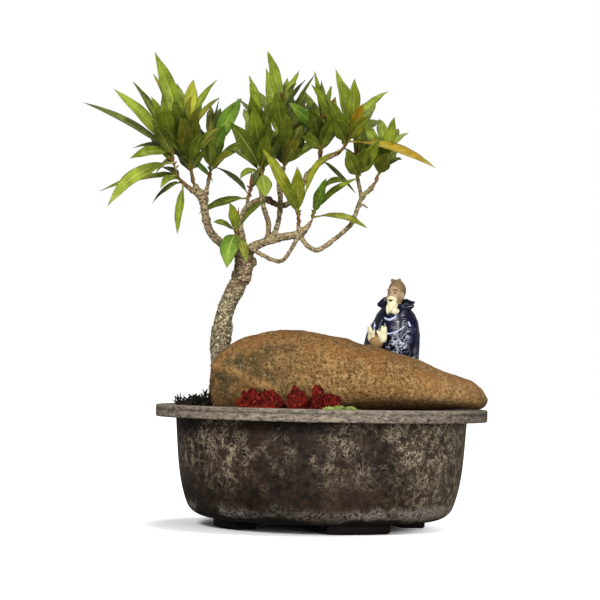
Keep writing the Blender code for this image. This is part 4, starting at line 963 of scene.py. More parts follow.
def leaf_surface(settings):
    """Leathery green blades with a pale midrib, faint side veins, dust specks, painted shade at the foot and
    a duller underside, partly lightened as painted light.
    """
    material, tree, shader, place = surface("leaf")
    along, across, top = (read_attribute(tree, name) for name in ("along", "across", "top"))
    away = maths(tree, "ABSOLUTE", across)
    colour = read_attribute(tree, "tint", "Color")
    cloud = blotches(tree, place, 10 * MM, 0.30, 0.70)
    colour = laid(tree, colour, cloud, 0.70, (140, 150, 116), "MULTIPLY")
    patch = blotches(tree, place, 13 * MM, 0.50, 0.72)
    colour = laid(tree, colour, patch, 0.55, (152, 164, 62))
    # Painted shade: each blade darkens towards its foot, where the leaves of a rosette shade one another.
    foot = ramped(tree, along, 0.55, 0.15)
    colour = laid(tree, colour, foot, 0.45, (70, 78, 30))
    # The underside's own paler green, laid on strongly enough that it is also painted light lifting the
    # underside's shade.
    under = maths(tree, "SUBTRACT", 1.0, top)
    colour = laid(tree, colour, under, 0.60, (132, 150, 62))
    beat = maths(tree, "MULTIPLY_ADD", along, 26.0, times(tree, away, -2.2))
    ripple = maths(tree, "SINE", times(tree, beat, math.pi))
    vein = maths(tree, "POWER", maths(tree, "ABSOLUTE", ripple), 12.0)
    colour = laid(tree, colour, vein, 0.10, (160, 168, 80))
    rib = ramped(tree, away, 0.110, 0.035)
    rib = times(tree, rib, ramped(tree, along, 1.0, 0.35, 0.10, 0.55))
    colour = mixed(tree, rib, colour, paint(176, 178, 92))
    rim = times(tree, ramped(tree, away, 0.76, 0.97), 0.55)
    colour = mixed(tree, rim, colour, paint(40, 48, 14))
    specks = times(tree, grains(tree, place, 0.7 * MM, settings.speck_share), top)
    colour = laid(tree, colour, specks, 0.55, (196, 204, 140))
    scald = blotches(tree, place, 4 * MM, 0.62, 0.72)
    colour = laid(tree, colour, scald, 0.5, (120, 92, 36))
    burnt = ramped(tree, along, 0.955, 0.995)
    colour = laid(tree, colour, burnt, 0.85, (44, 36, 18))
    rough = maths(tree, "MULTIPLY_ADD", under, 0.16, maths(tree, "MULTIPLY_ADD", cloud, 0.14, 0.44))
    height = maths(tree, "SUBTRACT", noise_value(tree, place, 1.6 * MM, 2.0), times(tree, vein, 0.6))
    finish_surface(tree, shader, colour, rough, height, 0.15 * MM, 0.6, 0.14)
    shader.inputs["Subsurface Weight"].default_value = 0.30
    shader.inputs["Subsurface Radius"].default_value = (0.7, 1.0, 0.25)
    shader.inputs["Subsurface Scale"].default_value = 0.8 * MM
    return material


def twig_surface():
    """Young reddish-brown stems with pale lenticels, and greener petioles."""
    material, tree, shader, place = surface("twig")
    colour = read_attribute(tree, "tint", "Color")
    cloud = blotches(tree, place, 3 * MM, 0.35, 0.65)
    colour = laid(tree, colour, cloud, 0.5, (140, 128, 120), "MULTIPLY")
    pale = grains(tree, place, 0.9 * MM, 0.15)
    colour = laid(tree, colour, pale, 0.35, (190, 170, 130))
    finish_surface(tree, shader, colour, 0.62, noise_value(tree, place, 1.0 * MM, 4.0), 0.2 * MM)
    return material


# Trunk and branches

def trunk_paths():
    """The trunk and each branch as a smooth path with its radii."""
    paths = {}
    for limb, rows in {"trunk": TRUNK, **LIMBS}.items():
        paths[limb] = eased_path([spot(*row[:3]) for row in rows], [row[3] * MM for row in rows], PATH_STEP)
    foot = spot(*TRUNK[2][:3])
    for k, (degrees, reach) in enumerate(ROOTS):
        out = Vector((math.cos(math.radians(degrees)), math.sin(math.radians(degrees)), 0)) * reach
        points = [foot + (out * far + UP * high) * MM for far, high, _ in ROOT_STEPS]
        paths[f"root_{k}"] = eased_path(points, [r * MM for _, _, r in ROOT_STEPS], PATH_STEP)
    return paths


def build_trunk(settings):
    """The grown-together wood, with scaly bark on the trunk and ringed scars on the branches."""
    paths = trunk_paths()
    shape = bmesh.new()
    for name, (points, radii) in paths.items():
        add_tube(shape, points, [r * 0.97 for r in radii], 18 if name == "trunk" else 12)
    for x, depth, z, radius in (BURL, *KNOTS):
        add_ball(shape, spot(x, depth, z), [radius * MM] * 3)
    piece = remeshed("trunk_bark", shape, settings.voxel)

    samples = [(place, far, name == "trunk") for name, (points, _) in paths.items()
               for far, place in zip(arc_lengths(points), points)]
    tree = KDTree(len(samples))
    for i, (place, _, _) in enumerate(samples):
        tree.insert(place, i)
    tree.balance()
    girdle_middle = (spot(-55, 30, 146).z + spot(-55, 30, 151).z) / 2
    knob = spot(*LIMBS["knob"][-1][:3])
    knob_way = (knob - spot(*LIMBS["knob"][0][:3])).normalized()
    cracks, roughs, cuts = [], [], []
    normals = [v.normal.copy() for v in piece.data.vertices]
    for v, normal in zip(piece.data.vertices, normals):
        p = v.co.copy()
        _, i, away = tree.find(p)
        _, far, on_trunk = samples[i]
        rough = ease(0.011, 0.006, away) if on_trunk else 0.25 * ease(0.22, 0.17, p.z)
        cell = Vector((p.x, p.y, p.z * 1.5)) / settings.scale_size
        cell += noise.noise_vector(p / (3 * MM)) * 0.55
        near = noise.voronoi(cell)[0]
        plate = min(1.0, (near[1] - near[0]) * 2.2)
        lump = noise.fractal(p / (6 * MM), 1.0, 2.0, 4)
        ring = math.sin((far / (2.3 * MM) + 1.1 * noise.noise(p / (4 * MM))) * TURN)
        scar = ease(0.35, 0.95, ring) * (1 - 0.75 * rough)
        fine = noise.fractal(p / (1.3 * MM), 0.8, 2.0, 3)
        girdle = ease(0.0, 1.0, 1 - abs(p.z - girdle_middle) / (3.2 * MM)) if on_trunk else 0.0
        groove = girdle * ease(0.2, 0.95, math.sin((p.z / (2.4 * MM) + p.x / (14 * MM) + lump * 0.5) * TURN))
        wrap = math.sin((p.z / (4.6 * MM) - p.x / (13 * MM) + 1.3 * noise.noise(p / (9 * MM))) * TURN)
        wrap = rough * ease(0.45, 0.98, wrap) * ease(-0.25, 0.25, noise.noise(p / (11 * MM)) + 0.15)
        height = rough * (0.75 * plate - 0.40 + 0.55 * lump) + (1 - rough) * 0.22 * lump - 0.22 * scar
        height += 0.34 * fine - 0.75 * groove - 0.55 * wrap
        v.co = p + normal * height * settings.crack_depth
        facing = (p - knob).dot(knob_way)
        cuts.append(ease(-0.9 * MM, -0.2 * MM, facing) if (p - knob).length < 4.2 * MM else 0.0)
        # The crack mask follows the inward relief: it marks the bark's darker fissures and also where painted
        # shade goes.
        cracks.append(min(1.0, max(0.0, (1 - plate) * rough + scar * 0.85 + groove + 0.75 * wrap)))
        roughs.append(rough)
    store(piece.data, "crack_shade", "FLOAT", cracks)
    store(piece.data, "scaly", "FLOAT", roughs)
    store(piece.data, "cut", "FLOAT", cuts)
    dress(piece, bark_surface())
    settle(piece, "bark", "trunk")


def arc_lengths(points):
    """How far along a path each of its points lies."""
    lengths = [0.0]
    for a, b in zip(points, points[1:]):
        lengths.append(lengths[-1] + (b - a).length)
    return lengths


def bark_surface():
    """Grey-tan bark with fine dark cracks that also hold painted shade, a stained foot darker towards the
    soil, red-brown rings and smoother branches.
    """
    material, tree, shader, place = surface("bark")
    crack_shade, scaly, cut = (read_attribute(tree, name) for name in ("crack_shade", "scaly", "cut"))
    speck = noise_value(tree, place, 1.1 * MM, 4.0, 0.75)
    cloud = ramped(tree, speck, 0.36, 0.64)
    trunk_tone = mixed(tree, cloud, paint(118, 104, 70), paint(250, 236, 194))
    limb_tone = mixed(tree, cloud, paint(82, 68, 44), paint(178, 158, 118))
    colour = mixed(tree, scaly, limb_tone, trunk_tone)
    wide = blotches(tree, place, 7 * MM, 0.40, 0.64)
    colour = laid(tree, colour, wide, 0.30, (150, 134, 98))
    height = put(tree, "ShaderNodeSeparateXYZ", {0: place}).outputs[2]
    low = times(tree, ramped(tree, height, 0.125, 0.085), blotches(tree, place, 5 * MM, 0.35, 0.58))
    colour = laid(tree, colour, low, 0.45, (140, 134, 128))
    mossy = blotches(tree, place, 9 * MM, 0.55, 0.68)
    colour = laid(tree, colour, mossy, 0.35, (120, 122, 66))
    dark = times(tree, grains(tree, place, 1.2 * MM, 0.20), maths(tree, "MULTIPLY_ADD", scaly, 0.7, 0.3))
    colour = laid(tree, colour, dark, 0.60, (58, 44, 28))
    # Darkened cracks: partly the bark's own colour in its fissures, partly painted shade in the grooves.
    colour = laid(tree, colour, crack_shade, 0.85, (42, 30, 17))
    collar = times(tree, ramped(tree, height, 0.139, 0.146), ramped(tree, height, 0.178, 0.160))
    ruddy = times(tree, collar, squiggles(tree, place, 4 * MM, 0.06))
    colour = laid(tree, colour, ruddy, 0.60, (112, 58, 36))
    # Darker towards the soil line at the trunk's foot.
    soil = ramped(tree, height, 0.084, 0.070)
    colour = laid(tree, colour, soil, 0.8, (44, 36, 26))
    rings = squiggles(tree, place, 3 * MM, 0.06)
    worn = mixed(tree, rings, paint(186, 170, 148), paint(122, 100, 80))
    colour = mixed(tree, times(tree, cut, 0.8), colour, worn)
    finish_surface(tree, shader, colour, 0.86, speck, 0.7 * MM, 1.0)
    return material


# Rock

def rock_skin(x, angle, finer):
    """A point of the rock's skin, in the front view's own millimetres."""
    left, right = ROCK_TOP[0][0], ROCK_TOP[-1][0]
    near_end = min(1.0, max(0.0, (x - right + 5.5) / 5.5))
    top = read_off(ROCK_TOP, x)
    foot = min(read_off(ROCK_FOOT, x), 73.9) + 6.5 * (1 - math.sqrt(1 - near_end ** 2))
    along = 2 * (x - left) / (right - left) - 1
    deep = ROCK_HALF_DEPTH * math.sqrt(max(0.0, 1 - abs(along) ** ROCK_TAPER))
    power = 2 / ROCK_SQUARENESS
    c, s = math.cos(angle), math.sin(angle)
    out = math.copysign(abs(c) ** power, c)
    high = math.copysign(abs(s) ** power, s)
    middle = (top + foot) / 2
    depth = ROCK_DEPTH + deep * out * (1.0 - ROCK_BATTER * high)
    z = middle + (top - middle) * high
    ledge = read_off(ROCK_LEDGE, x)
    if x < ROCK_LEDGE[-1][0] and c < 0 and z < ledge:
        fade = min(1.0, (ROCK_LEDGE[-1][0] - x) / ROCK_LEDGE_FADE)
        jag = 2.5 * noise.fractal(Vector((x, depth, z)) * 0.35, 0.8, 2.0, 3)
        depth += 0.65 * ROCK_LEDGE_STEP * min(1.0, max(0.0, ledge - z + jag) / (1.4 * ROCK_LEDGE_EASE)) * fade
    place = Vector((x, depth, z))
    bump = sum(high_mm * noise.noise(place * fine) for high_mm, fine in ROCK_BUMPS)
    place += Vector((0, out, max(high, 0.0))) * bump
    pits = noise.fractal(place * 0.30, 0.9, 2.0, 4)
    hollow = ease(0.34, 0.6, noise.noise(place * 0.16 + Vector((9, 4, 2))))
    place -= Vector((0, out, max(high, 0.0))) * finer * (0.55 - 0.45 * pits + 0.8 * hollow)
    return place


def build_rock(settings):
    """The long sandstone with its pitted, grainy skin."""
    shape = bmesh.new()
    left, right = ROCK_TOP[0][0], ROCK_TOP[-1][0]
    reach = (right - left) / 2
    rings, places = [], []
    for i in range(1, settings.stations):
        x = (left + right) / 2 - reach * math.cos(math.pi * i / settings.stations)
        angles = [TURN * (k + 0.5) / settings.sides for k in range(settings.sides)]
        row = [rock_skin(x, angle, settings.pits / MM) for angle in angles]
        rings.append([shape.verts.new(spot(*place)) for place in row])
        places.extend(row)
    for low, high in zip(rings, rings[1:]):
        bridge(shape, low, high)
    for ring, x in ((rings[0], left), (rings[-1], right)):
        middle = sum((v.co for v in ring), Vector()) / len(ring)
        fan(shape, ring, shape.verts.new(middle))
        places.append(Vector((x, ROCK_DEPTH, 86.0)))
    piece = as_object("sandstone_rock", shape)
    stain, ridge, crown = [], [], []
    for x, _, z in places:
        ledge = read_off(ROCK_LEDGE, x)
        end = ease(4.0, -34.0, x)
        top = read_off(ROCK_TOP, x)
        stain.append(end * ease(top - 4, top - 12, z) * (0.65 + 0.35 * ease(-20, -50, x)))
        ridge.append(ease(5.0, 0.5, abs(z - ledge - 0.5)) * ease(-24.0, -34.0, x))
        crown.append(ease(top - 16, top - 3, z))
    store(piece.data, "stain", "FLOAT", stain)
    store(piece.data, "ridge", "FLOAT", ridge)
    store(piece.data, "crown", "FLOAT", crown)
    dress(piece, sandstone_surface())
    settle(piece, "sandstone", "rock")


def sandstone_surface():
    """Ochre sandstone: salt-and-pepper grain, iron stains, dark pits and an olive mottled end."""
    material, tree, shader, place = surface("sandstone")
    stain, ridge, crown = (read_attribute(tree, name) for name in ("stain", "ridge", "crown"))
    fine = noise_value(tree, place, 2.0 * MM, 5.0, 0.85)
    coarse = noise_value(tree, place, 7 * MM, 4.0, 0.65)
    colour = mixed(tree, ramped(tree, fine, 0.42, 0.58), paint(72, 51, 27), paint(168, 134, 86))
    colour = laid(tree, colour, ramped(tree, coarse, 0.42, 0.62), 0.50, (98, 68, 34))
    wide = blotches(tree, place, 30 * MM, 0.42, 0.62)
    colour = laid(tree, colour, wide, 0.40, (138, 96, 50))
    iron = times(tree, crown, blotches(tree, place, 16 * MM, 0.45, 0.64))
    colour = laid(tree, colour, iron, 0.34, (134, 80, 38))
    olive = times(tree, stain, blotches(tree, place, 8 * MM, 0.40, 0.56, 5.0))
    colour = laid(tree, colour, olive, 0.80, (58, 52, 32))
    grey = times(tree, stain, grains(tree, place, 1.5 * MM, 0.25))
    colour = laid(tree, colour, grey, 0.45, (152, 140, 108))
    pale = times(tree, ridge, blotches(tree, place, 4 * MM, 0.34, 0.54))
    colour = laid(tree, colour, pale, 0.55, (186, 144, 88))
    for size, share, strength, tone in ROCK_GRAINS:
        colour = laid(tree, colour, grains(tree, place, size * MM, share), strength, tone)
    veins = squiggles(tree, place, 24 * MM, 0.006, 4.0)
    colour = laid(tree, colour, veins, 0.55, (70, 50, 28))
    x, _, height = put(tree, "ShaderNodeSeparateXYZ", {0: place}).outputs
    # Paler towards the rock's right end, a plain ramp along x.
    worn = times(tree, ramped(tree, x, 0.030, 0.090), 0.14)
    colour = mixed(tree, worn, colour, paint(196, 154, 106))
    # Darker towards the rock's foot, where it meets the soil.
    low_darkening = times(tree, ramped(tree, height, 0.083, 0.073), 0.55)
    colour = mixed(tree, low_darkening, colour, paint(58, 40, 22))
    bump = maths(tree, "MULTIPLY_ADD", coarse, 2.0, fine)
    finish_surface(tree, shader, colour, 0.88, bump, 1.0 * MM, 1.0, 0.10)
    return material


# Lava stones

def build_stones(settings):
    """The red lava lumps: broken faces full of pores."""
    material = lava_surface()
    draw = random.Random(11)
    for number, (x, depth, z, wide, high) in enumerate(STONES, 1):
        planes = [(Vector([draw.gauss(0, 1) for _ in range(3)]).normalized(), draw.uniform(0.66, 0.98))
                  for _ in range(settings.planes)]
        shape = bmesh.new()
        bmesh.ops.create_icosphere(shape, subdivisions=settings.fineness, radius=1.0)
        place = spot(x, depth, z)
        pores = []
        for v in shape.verts:
            way = v.co.copy()
            size = min([1.22] + [off / way.dot(face) for face, off in planes if way.dot(face) > 0.3])
            warped = way + noise.noise_vector(way * 2.5 + Vector((x, 0, 0))) * 0.5
            near = noise.voronoi(warped * 2.2 + Vector((x, 0, 0)))[0]
            tiny = noise.voronoi(warped * 6.0 + Vector((0, x, 0)))[0]
            pore = max(ease(0.32, 0.10, near[0]), 0.7 * ease(0.34, 0.10, tiny[0]))
            size -= 0.12 * pore - 0.30 * noise.fractal(way * 2.2 + Vector((x, 0, 0)), 0.8, 2.0, 5)
            v.co = place + Vector((way.x * wide, way.y * wide * 0.85, way.z * high)) * MM * size * 1.04
            pores.append(pore)
        piece = as_object(f"red_lava_{number}", shape)
        store(piece.data, "pore", "FLOAT", pores)
        dress(piece, material)
        settle(piece, "red_lava", f"lava_stone_{number}")


def lava_surface():
    """Dark red cinder with black pores, whose black is painted shade, and rusty, dusty high spots."""
    material, tree, shader, place = surface("red_lava")
    pore = read_attribute(tree, "pore")
    fine = noise_value(tree, place, 2.0 * MM, 5.0, 0.8)
    colour = mixed(tree, ramped(tree, fine, 0.36, 0.66), paint(26, 6, 5), paint(124, 30, 20))
    cool = blotches(tree, place, 6 * MM, 0.42, 0.60)
    colour = laid(tree, colour, cool, 0.60, (58, 8, 8))
    rust = blotches(tree, place, 4 * MM, 0.58, 0.68)
    colour = laid(tree, colour, rust, 0.60, (152, 52, 36))
    dust = grains(tree, place, 0.9 * MM, 0.04)
    colour = laid(tree, colour, dust, 0.50, (196, 122, 90))
    # Painted shade: the pores are only shallow dents, and their near-black stands for the shade inside deep
    # holes.
    colour = laid(tree, colour, pore, 0.80, (22, 5, 3))
    finish_surface(tree, shader, colour, 0.85, fine, 0.7 * MM, 1.0, 0.06)
    return material


# Pot

def turned(name, profile, sides):
    """A closed body turned round Z from a profile of radius and height that starts and ends on the axis."""
    shape = bmesh.new()
    rings = []
    for radius, z in profile[1:-1]:
        angles = [TURN * k / sides for k in range(sides)]
        rings.append([shape.verts.new((radius * math.cos(a), radius * math.sin(a), z)) for a in angles])
    for low, high in zip(rings, rings[1:]):
        bridge(shape, low, high)
    for ring, (_, z) in ((rings[0], profile[0]), (rings[-1], profile[-1])):
        fan(shape, ring, shape.verts.new((0, 0, z)))
    return as_object(name, shape)


def rounded(corners, radius, steps=5):
    """A profile with each of its inner corners rounded."""
    points = [Vector((r, 0, z)) for r, z in corners]
    made = [points[0]]
    for before, corner, after in zip(points, points[1:], points[2:]):
        reach = min(radius, (before - corner).length * 0.45, (after - corner).length * 0.45)
        start = corner + (before - corner).normalized() * reach
        end = corner + (after - corner).normalized() * reach
        for k in range(steps + 1):
            t = k / steps
            made.append(start * (1 - t) ** 2 + corner * 2 * t * (1 - t) + end * t * t)
    made.append(points[-1])
    return [(p.x, p.z) for p in made]


def pot_outline():
    """The pot's profile, from the middle underneath, out over the flange and back inside to the floor."""
    body = [(r * MM, z * MM) for r, z in BODY_CURVE] + [(NECK_RADIUS, POT_HEIGHT - FLANGE_WALL)]
    curve, _ = eased_path([Vector((r, 0, z)) for r, z in body], [0.0] * len(body), 3 * MM)
    outside = [(p.x, p.z) for p in curve]
    flange = [
        (RIM_RADIUS - LIP_WALL, POT_HEIGHT - FLANGE_WALL),
        (RIM_RADIUS - LIP_WALL, POT_HEIGHT - LIP_DROP),
        (RIM_RADIUS, POT_HEIGHT - LIP_DROP),
        (RIM_RADIUS, POT_HEIGHT),
        (NECK_RADIUS - WALL, POT_HEIGHT),
    ]
    inside = [(r - WALL, z) for r, z in body[:-1] if z > FLOOR_TOP]
    low = (inside[0][0] - FLOOR_CORNER, FLOOR_TOP)
    profile = [(0.0, FOOT_HEIGHT), *outside, *flange, *reversed(inside), low, (0.0, FLOOR_TOP)]
    return rounded(profile, EDGE_ROUND)


def foot_block(shape, middle):
    """One wide foot with soft corners under the base."""
    rings = []
    levels = ((0.0, 1.5), (0.4 * MM, 0.6), (1.4 * MM, 0.0), (FOOT_HEIGHT + CORNER_ROUND, 0.0))
    for z, shrink in levels:
        inner = FOOT_RADII[0] + shrink * MM
        outer = FOOT_RADII[1] - shrink * MM
        half = FOOT_HALF_ANGLE - shrink * MM / FOOT_RADII[1]
        arc = [middle + half * k / 12 for k in range(-12, 13)]
        corners = [(outer, a) for a in arc] + [(inner, a) for a in reversed(arc)]
        rings.append([shape.verts.new((r * math.sin(a), -r * math.cos(a), z)) for r, a in corners])
    for low, high in zip(rings, rings[1:]):
        bridge(shape, low, high)
    shape.faces.new(rings[0])
    shape.faces.new(rings[-1])


def combined(name, first, other, operation):
    """One Boolean of two closed bodies, kept as a plain object."""
    modifier = first.modifiers.new(operation, "BOOLEAN")
    modifier.operation = operation
    modifier.object = other
    modifier.solver = "EXACT"
    made = evaluated(first, name)
    bpy.data.objects.remove(other, do_unlink=True)
    return made


def build_pot(settings):
    """The moulded plastic pot with its flange, feet and drain holes, weathered by hard water."""
    body = turned("pot_body", pot_outline(), settings.sides)
    feet = bmesh.new()
    for k in range(FEET):
        foot_block(feet, FOOT_TURN + TURN * k / FEET)
    body = combined("pot_footed", body, as_object("pot_feet", feet), "UNION")
    drains = bmesh.new()
    for k in range(FEET):
        angle = FOOT_TURN + TURN * (k + 0.5) / FEET
        middle = Vector((math.sin(angle), -math.cos(angle), 0.0)) * DRAIN_RING
        ends = [middle + UP * FOOT_HEIGHT * share for share in (0.5, 3)]
        add_tube(drains, ends, [DRAIN_RADIUS] * 2, 32)
    pot = combined("plastic_pot", body, as_object("pot_drains", drains), "DIFFERENCE")
    dress(pot, pot_surface())
    pot.data.set_sharp_from_angle(angle=SHARP_EDGE)
    settle(pot, "brown_plastic", "pot")


def pot_surface():
    """Dark brown plastic under brushed lime deposits, with a tide line near the base, a dusty rim and a
    painted highlight on its top edge.
    """
    material, tree, shader, place = surface("brown_plastic")
    x, y, z = put(tree, "ShaderNodeSeparateXYZ", {0: place}).outputs
    radius = maths(tree, "SQRT", maths(tree, "MULTIPLY_ADD", x, x, times(tree, y, y)))
    grime = noise_value(tree, place, 3.5 * MM, 5.0, 0.7)
    colour = mixed(tree, ramped(tree, grime, 0.36, 0.66), paint(12, 8, 6), paint(43, 32, 24))
    warm = blotches(tree, place, 30 * MM, 0.42, 0.66)
    colour = laid(tree, colour, warm, 0.25, (62, 44, 34))

    upper = ramped(tree, z, 0.016, 0.052, 0.12, 1.0)
    side = ramped(tree, maths(tree, "ABSOLUTE", maths(tree, "SUBTRACT", x, 0.004)), 0.030, 0.085, -0.04, 0.06)
    side = maths(tree, "ADD", side, ramped(tree, x, 0.020, 0.062, 0.0, 0.30))
    wide = maths(tree, "ADD", noise_value(tree, place, 36 * MM, 3.0), side)
    wide = ramped(tree, wide, 0.40, 0.74)
    upper = maths(tree, "MAXIMUM", upper, ramped(tree, x, 0.032, 0.072, 0.0, 1.0))
    patch = times(tree, upper, wide)
    lines = brushed(tree, place, 3.6 * MM, 0.062)
    finer = brushed(tree, scaled(tree, place, -1.0), 2.2 * MM, 0.060)
    worn = ramped(tree, noise_value(tree, place, 5 * MM, 3.0), 0.38, 0.60)
    net = times(tree, maths(tree, "MAXIMUM", lines, times(tree, finer, 0.75)), worn)
    sparse = times(tree, finer, ramped(tree, noise_value(tree, place, 9 * MM, 3.0), 0.50, 0.66, 0.0, 0.45))
    lime = maths(tree, "MAXIMUM", times(tree, net, patch), times(tree, sparse, upper))
    hazy = ramped(tree, grime, 0.40, 0.62, 0.0, 0.30)
    hazy = maths(tree, "ADD", hazy, ramped(tree, x, 0.030, 0.075, 0.0, 0.30))
    film = times(tree, patch, hazy)
    colour = mixed(tree, film, colour, paint(84, 73, 60))
    colour = laid(tree, colour, lime, 0.90, (172, 157, 132))

    lower = maths(tree, "SUBTRACT", z, 0.006)
    drift = maths(tree, "MULTIPLY_ADD", noise_value(tree, place, 22 * MM, 2.0), 0.012, lower)
    band = times(tree, ramped(tree, drift, 0.0085, 0.0105), ramped(tree, drift, 0.0180, 0.0130))
    beside = ramped(tree, maths(tree, "ABSOLUTE", maths(tree, "ADD", x, 0.012)), 0.015, 0.050, 0.35, 1.0)
    front = times(tree, times(tree, band, beside), blotches(tree, place, 24 * MM, 0.36, 0.50))
    crust = times(tree, front, blotches(tree, place, 1.8 * MM, 0.38, 0.58, 4.0))
    colour = laid(tree, colour, crust, 0.85, (140, 134, 124))
    clean = ramped(tree, drift, 0.0098, 0.0075)
    colour = mixed(tree, clean, colour, paint(20, 14, 12))

    lip = times(tree, ramped(tree, radius, 0.0955, 0.0975), ramped(tree, z, 0.063, 0.066))
    around = node(tree, "ShaderNodeMapping", {"Vector": place, "Scale": (0.75, 0.75, 1.8)})
    dust = ramped(tree, noise_value(tree, around, 3.0 * MM, 5.0, 0.78), 0.34, 0.66)
    rim_tone = mixed(tree, dust, paint(52, 46, 40), paint(142, 130, 114))
    seam = times(tree, ramped(tree, z, 0.0700, 0.0708), ramped(tree, z, 0.0722, 0.0714))
    seam = times(tree, seam, blotches(tree, around, 12 * MM, 0.36, 0.56))
    rim_tone = laid(tree, rim_tone, seam, 0.7, (52, 48, 44))
    flecks = grains(tree, around, 0.9 * MM, 0.12)
    rim_tone = laid(tree, rim_tone, flecks, 0.40, (178, 168, 150))
    colour = mixed(tree, lip, colour, rim_tone)
    # Painted highlight: paler along the rim's rounded top edge.
    ledge = times(tree, ramped(tree, z, 0.0728, 0.0734), 0.45)
    colour = mixed(tree, ledge, colour, paint(132, 122, 106))

    rough = maths(tree, "MULTIPLY_ADD", lime, 0.25, 0.60)
    height = maths(tree, "MULTIPLY_ADD", lime, 0.7, times(tree, grime, 0.5))
    finish_surface(tree, shader, colour, rough, height, 0.16 * MM, 0.7)
    return material


def brushed(tree, vector, size, width):
    """Thin winding strokes that a warped field breaks into short dashes."""
    warp = put(tree, "ShaderNodeTexNoise", {"Vector": vector, "Scale": 0.6 / size, "Detail": 1.0}).outputs[1]
    values = {0: scaled(tree, warp, size * 1.6), 1: vector}
    moved = node(tree, "ShaderNodeVectorMath", values, operation="ADD")
    return squiggles(tree, moved, size, width, 1.0)


# Soil, moss and fibres

def scatter_tree():
    """The Geometry Nodes tree that strews small lumps of random size and turn over a ground."""
    tree = bpy.data.node_groups.new("Strewn lumps", "GeometryNodeTree")
    sockets(tree, "INPUT", [
        ("Geometry", "Geometry"), ("Spacing", "Float", 0.001),
        ("Density", "Float", 100000.0), ("Seed", "Int", 1),
        ("Smallest", "Vector", (0.5, 0.5, 0.5)), ("Largest", "Vector", (1.5, 1.5, 1.5)),
        ("Size", "Float", 0.001), ("Material", "Material"),
    ])
    sockets(tree, "OUTPUT", [("Geometry", "Geometry")])
    given, target = group_ends(tree)
    values = {"Mesh": given["Geometry"], "Distance Min": given["Spacing"], "Density Max": given["Density"],
              "Seed": given["Seed"]}
    points = node(tree, "GeometryNodeDistributePointsOnFaces", values, distribute_method="POISSON")
    lump = node(tree, "GeometryNodeMeshIcoSphere", {"Radius": given["Size"], "Subdivisions": 1})
    turn = random_field(tree, "FLOAT_VECTOR", (0.0, 0.0, 0.0), (TURN, TURN, TURN), given["Seed"])
    size = random_field(tree, "FLOAT_VECTOR", given["Smallest"], given["Largest"], given["Seed"])
    strewn = put(tree, "GeometryNodeInstanceOnPoints", {"Points": points, "Instance": lump})
    tree.links.new(node(tree, "FunctionNodeEulerToRotation", {0: turn}), strewn.inputs["Rotation"])
    tree.links.new(size, strewn.inputs["Scale"])
    tone = random_field(tree, "FLOAT", 0.0, 1.0, given["Seed"])
    toned = kept(tree, strewn.outputs[0], "tone", tone, domain="INSTANCE")
    real = node(tree, "GeometryNodeRealizeInstances", {"Geometry": toned})
    coated = node(tree, "GeometryNodeSetMaterial", {"Geometry": real, "Material": given["Material"]})
    tree.links.new(coated, target.inputs[0])
    return tree


def random_field(tree, kind, low, high, seed):
    """A random value for each element, between two values."""
    made = tree.nodes.new("FunctionNodeRandomValue")
    made.data_type = kind
    first, second = (s for s in made.inputs if s.enabled and s.name in ("Min", "Max"))
    for socket, value in ((first, low), (second, high)):
        if isinstance(value, bpy.types.NodeSocket):
            tree.links.new(value, socket)
        else:
            socket.default_value = value
    tree.links.new(seed, next(s for s in made.inputs if s.name == "Seed"))
    return next(s for s in made.outputs if s.enabled)


def soil_ground(choose):
    """The packed soil's upper faces that a test picks, as a mesh in their real place."""
    shape = bmesh.new()
    shape.from_mesh(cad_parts["soil"].data)
    bmesh.ops.remove_doubles(shape, verts=shape.verts, dist=1e-6)
    gone = [f for f in shape.faces if f.normal.z < SOIL_TOP_SLOPE or f.calc_center_median().z < SOIL_TOP_LOW]
    bmesh.ops.delete(shape, geom=gone, context="FACES")
    bmesh.ops.triangulate(shape, faces=shape.faces)
    for _ in range(3):
        long = [e for e in shape.edges if e.calc_length() > SOIL_EDGE]
        bmesh.ops.subdivide_edges(shape, edges=long, cuts=1, use_grid_fill=False)
        bmesh.ops.triangulate(shape, faces=shape.faces)
    gone = [f for f in shape.faces if not choose(f.calc_center_median() - SLIDE)]
    bmesh.ops.delete(shape, geom=gone, context="FACES")
    mesh = bpy.data.meshes.new("soil_ground")
    shape.to_mesh(mesh)
    shape.free()
    return mesh


def build_soil(settings):
    """The dark mix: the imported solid's own surface, strewn with crumbs of bark, pumice and grit."""
    dark = soil_surface()
    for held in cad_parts["soil"].material_slots:
        held.material = dark
    tree = scatter_tree()
    inside = soil_ground(lambda p: Vector((p.x, p.y)).length < CRUMB_REACH)
    crumbs = grown("soil_crumbs", inside, tree, {
        "Spacing": settings.spacing, "Density": CRUMB_DENSITY, "Seed": 7, "Size": settings.crumb / 2,
        "Smallest": (0.5, 0.4, 0.35), "Largest": (1.6, 1.3, 1.0), "Material": dark,
    })
    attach(crumbs, "root")


def soil_surface():
    """Dark brown humus with tan bark bits and pale pumice."""
    material, tree, shader, place = surface("soil_mix")
    tone = read_attribute(tree, "tone")
    fine = noise_value(tree, place, 2.0 * MM, 5.0, 0.7)
    colour = mixed(tree, ramped(tree, fine, 0.3, 0.7), paint(34, 26, 18), paint(84, 66, 46))
    colour = mixed(tree, ramped(tree, tone, 0.45, 0.85), colour, paint(104, 82, 56))
    colour = mixed(tree, ramped(tree, tone, 0.90, 0.97), colour, paint(150, 132, 104))
    pale = grains(tree, place, 1.0 * MM, 0.08)
    colour = laid(tree, colour, pale, 0.5, (168, 152, 124))
    finish_surface(tree, shader, colour, 0.95, fine, 0.5 * MM, 0.9)
    return material


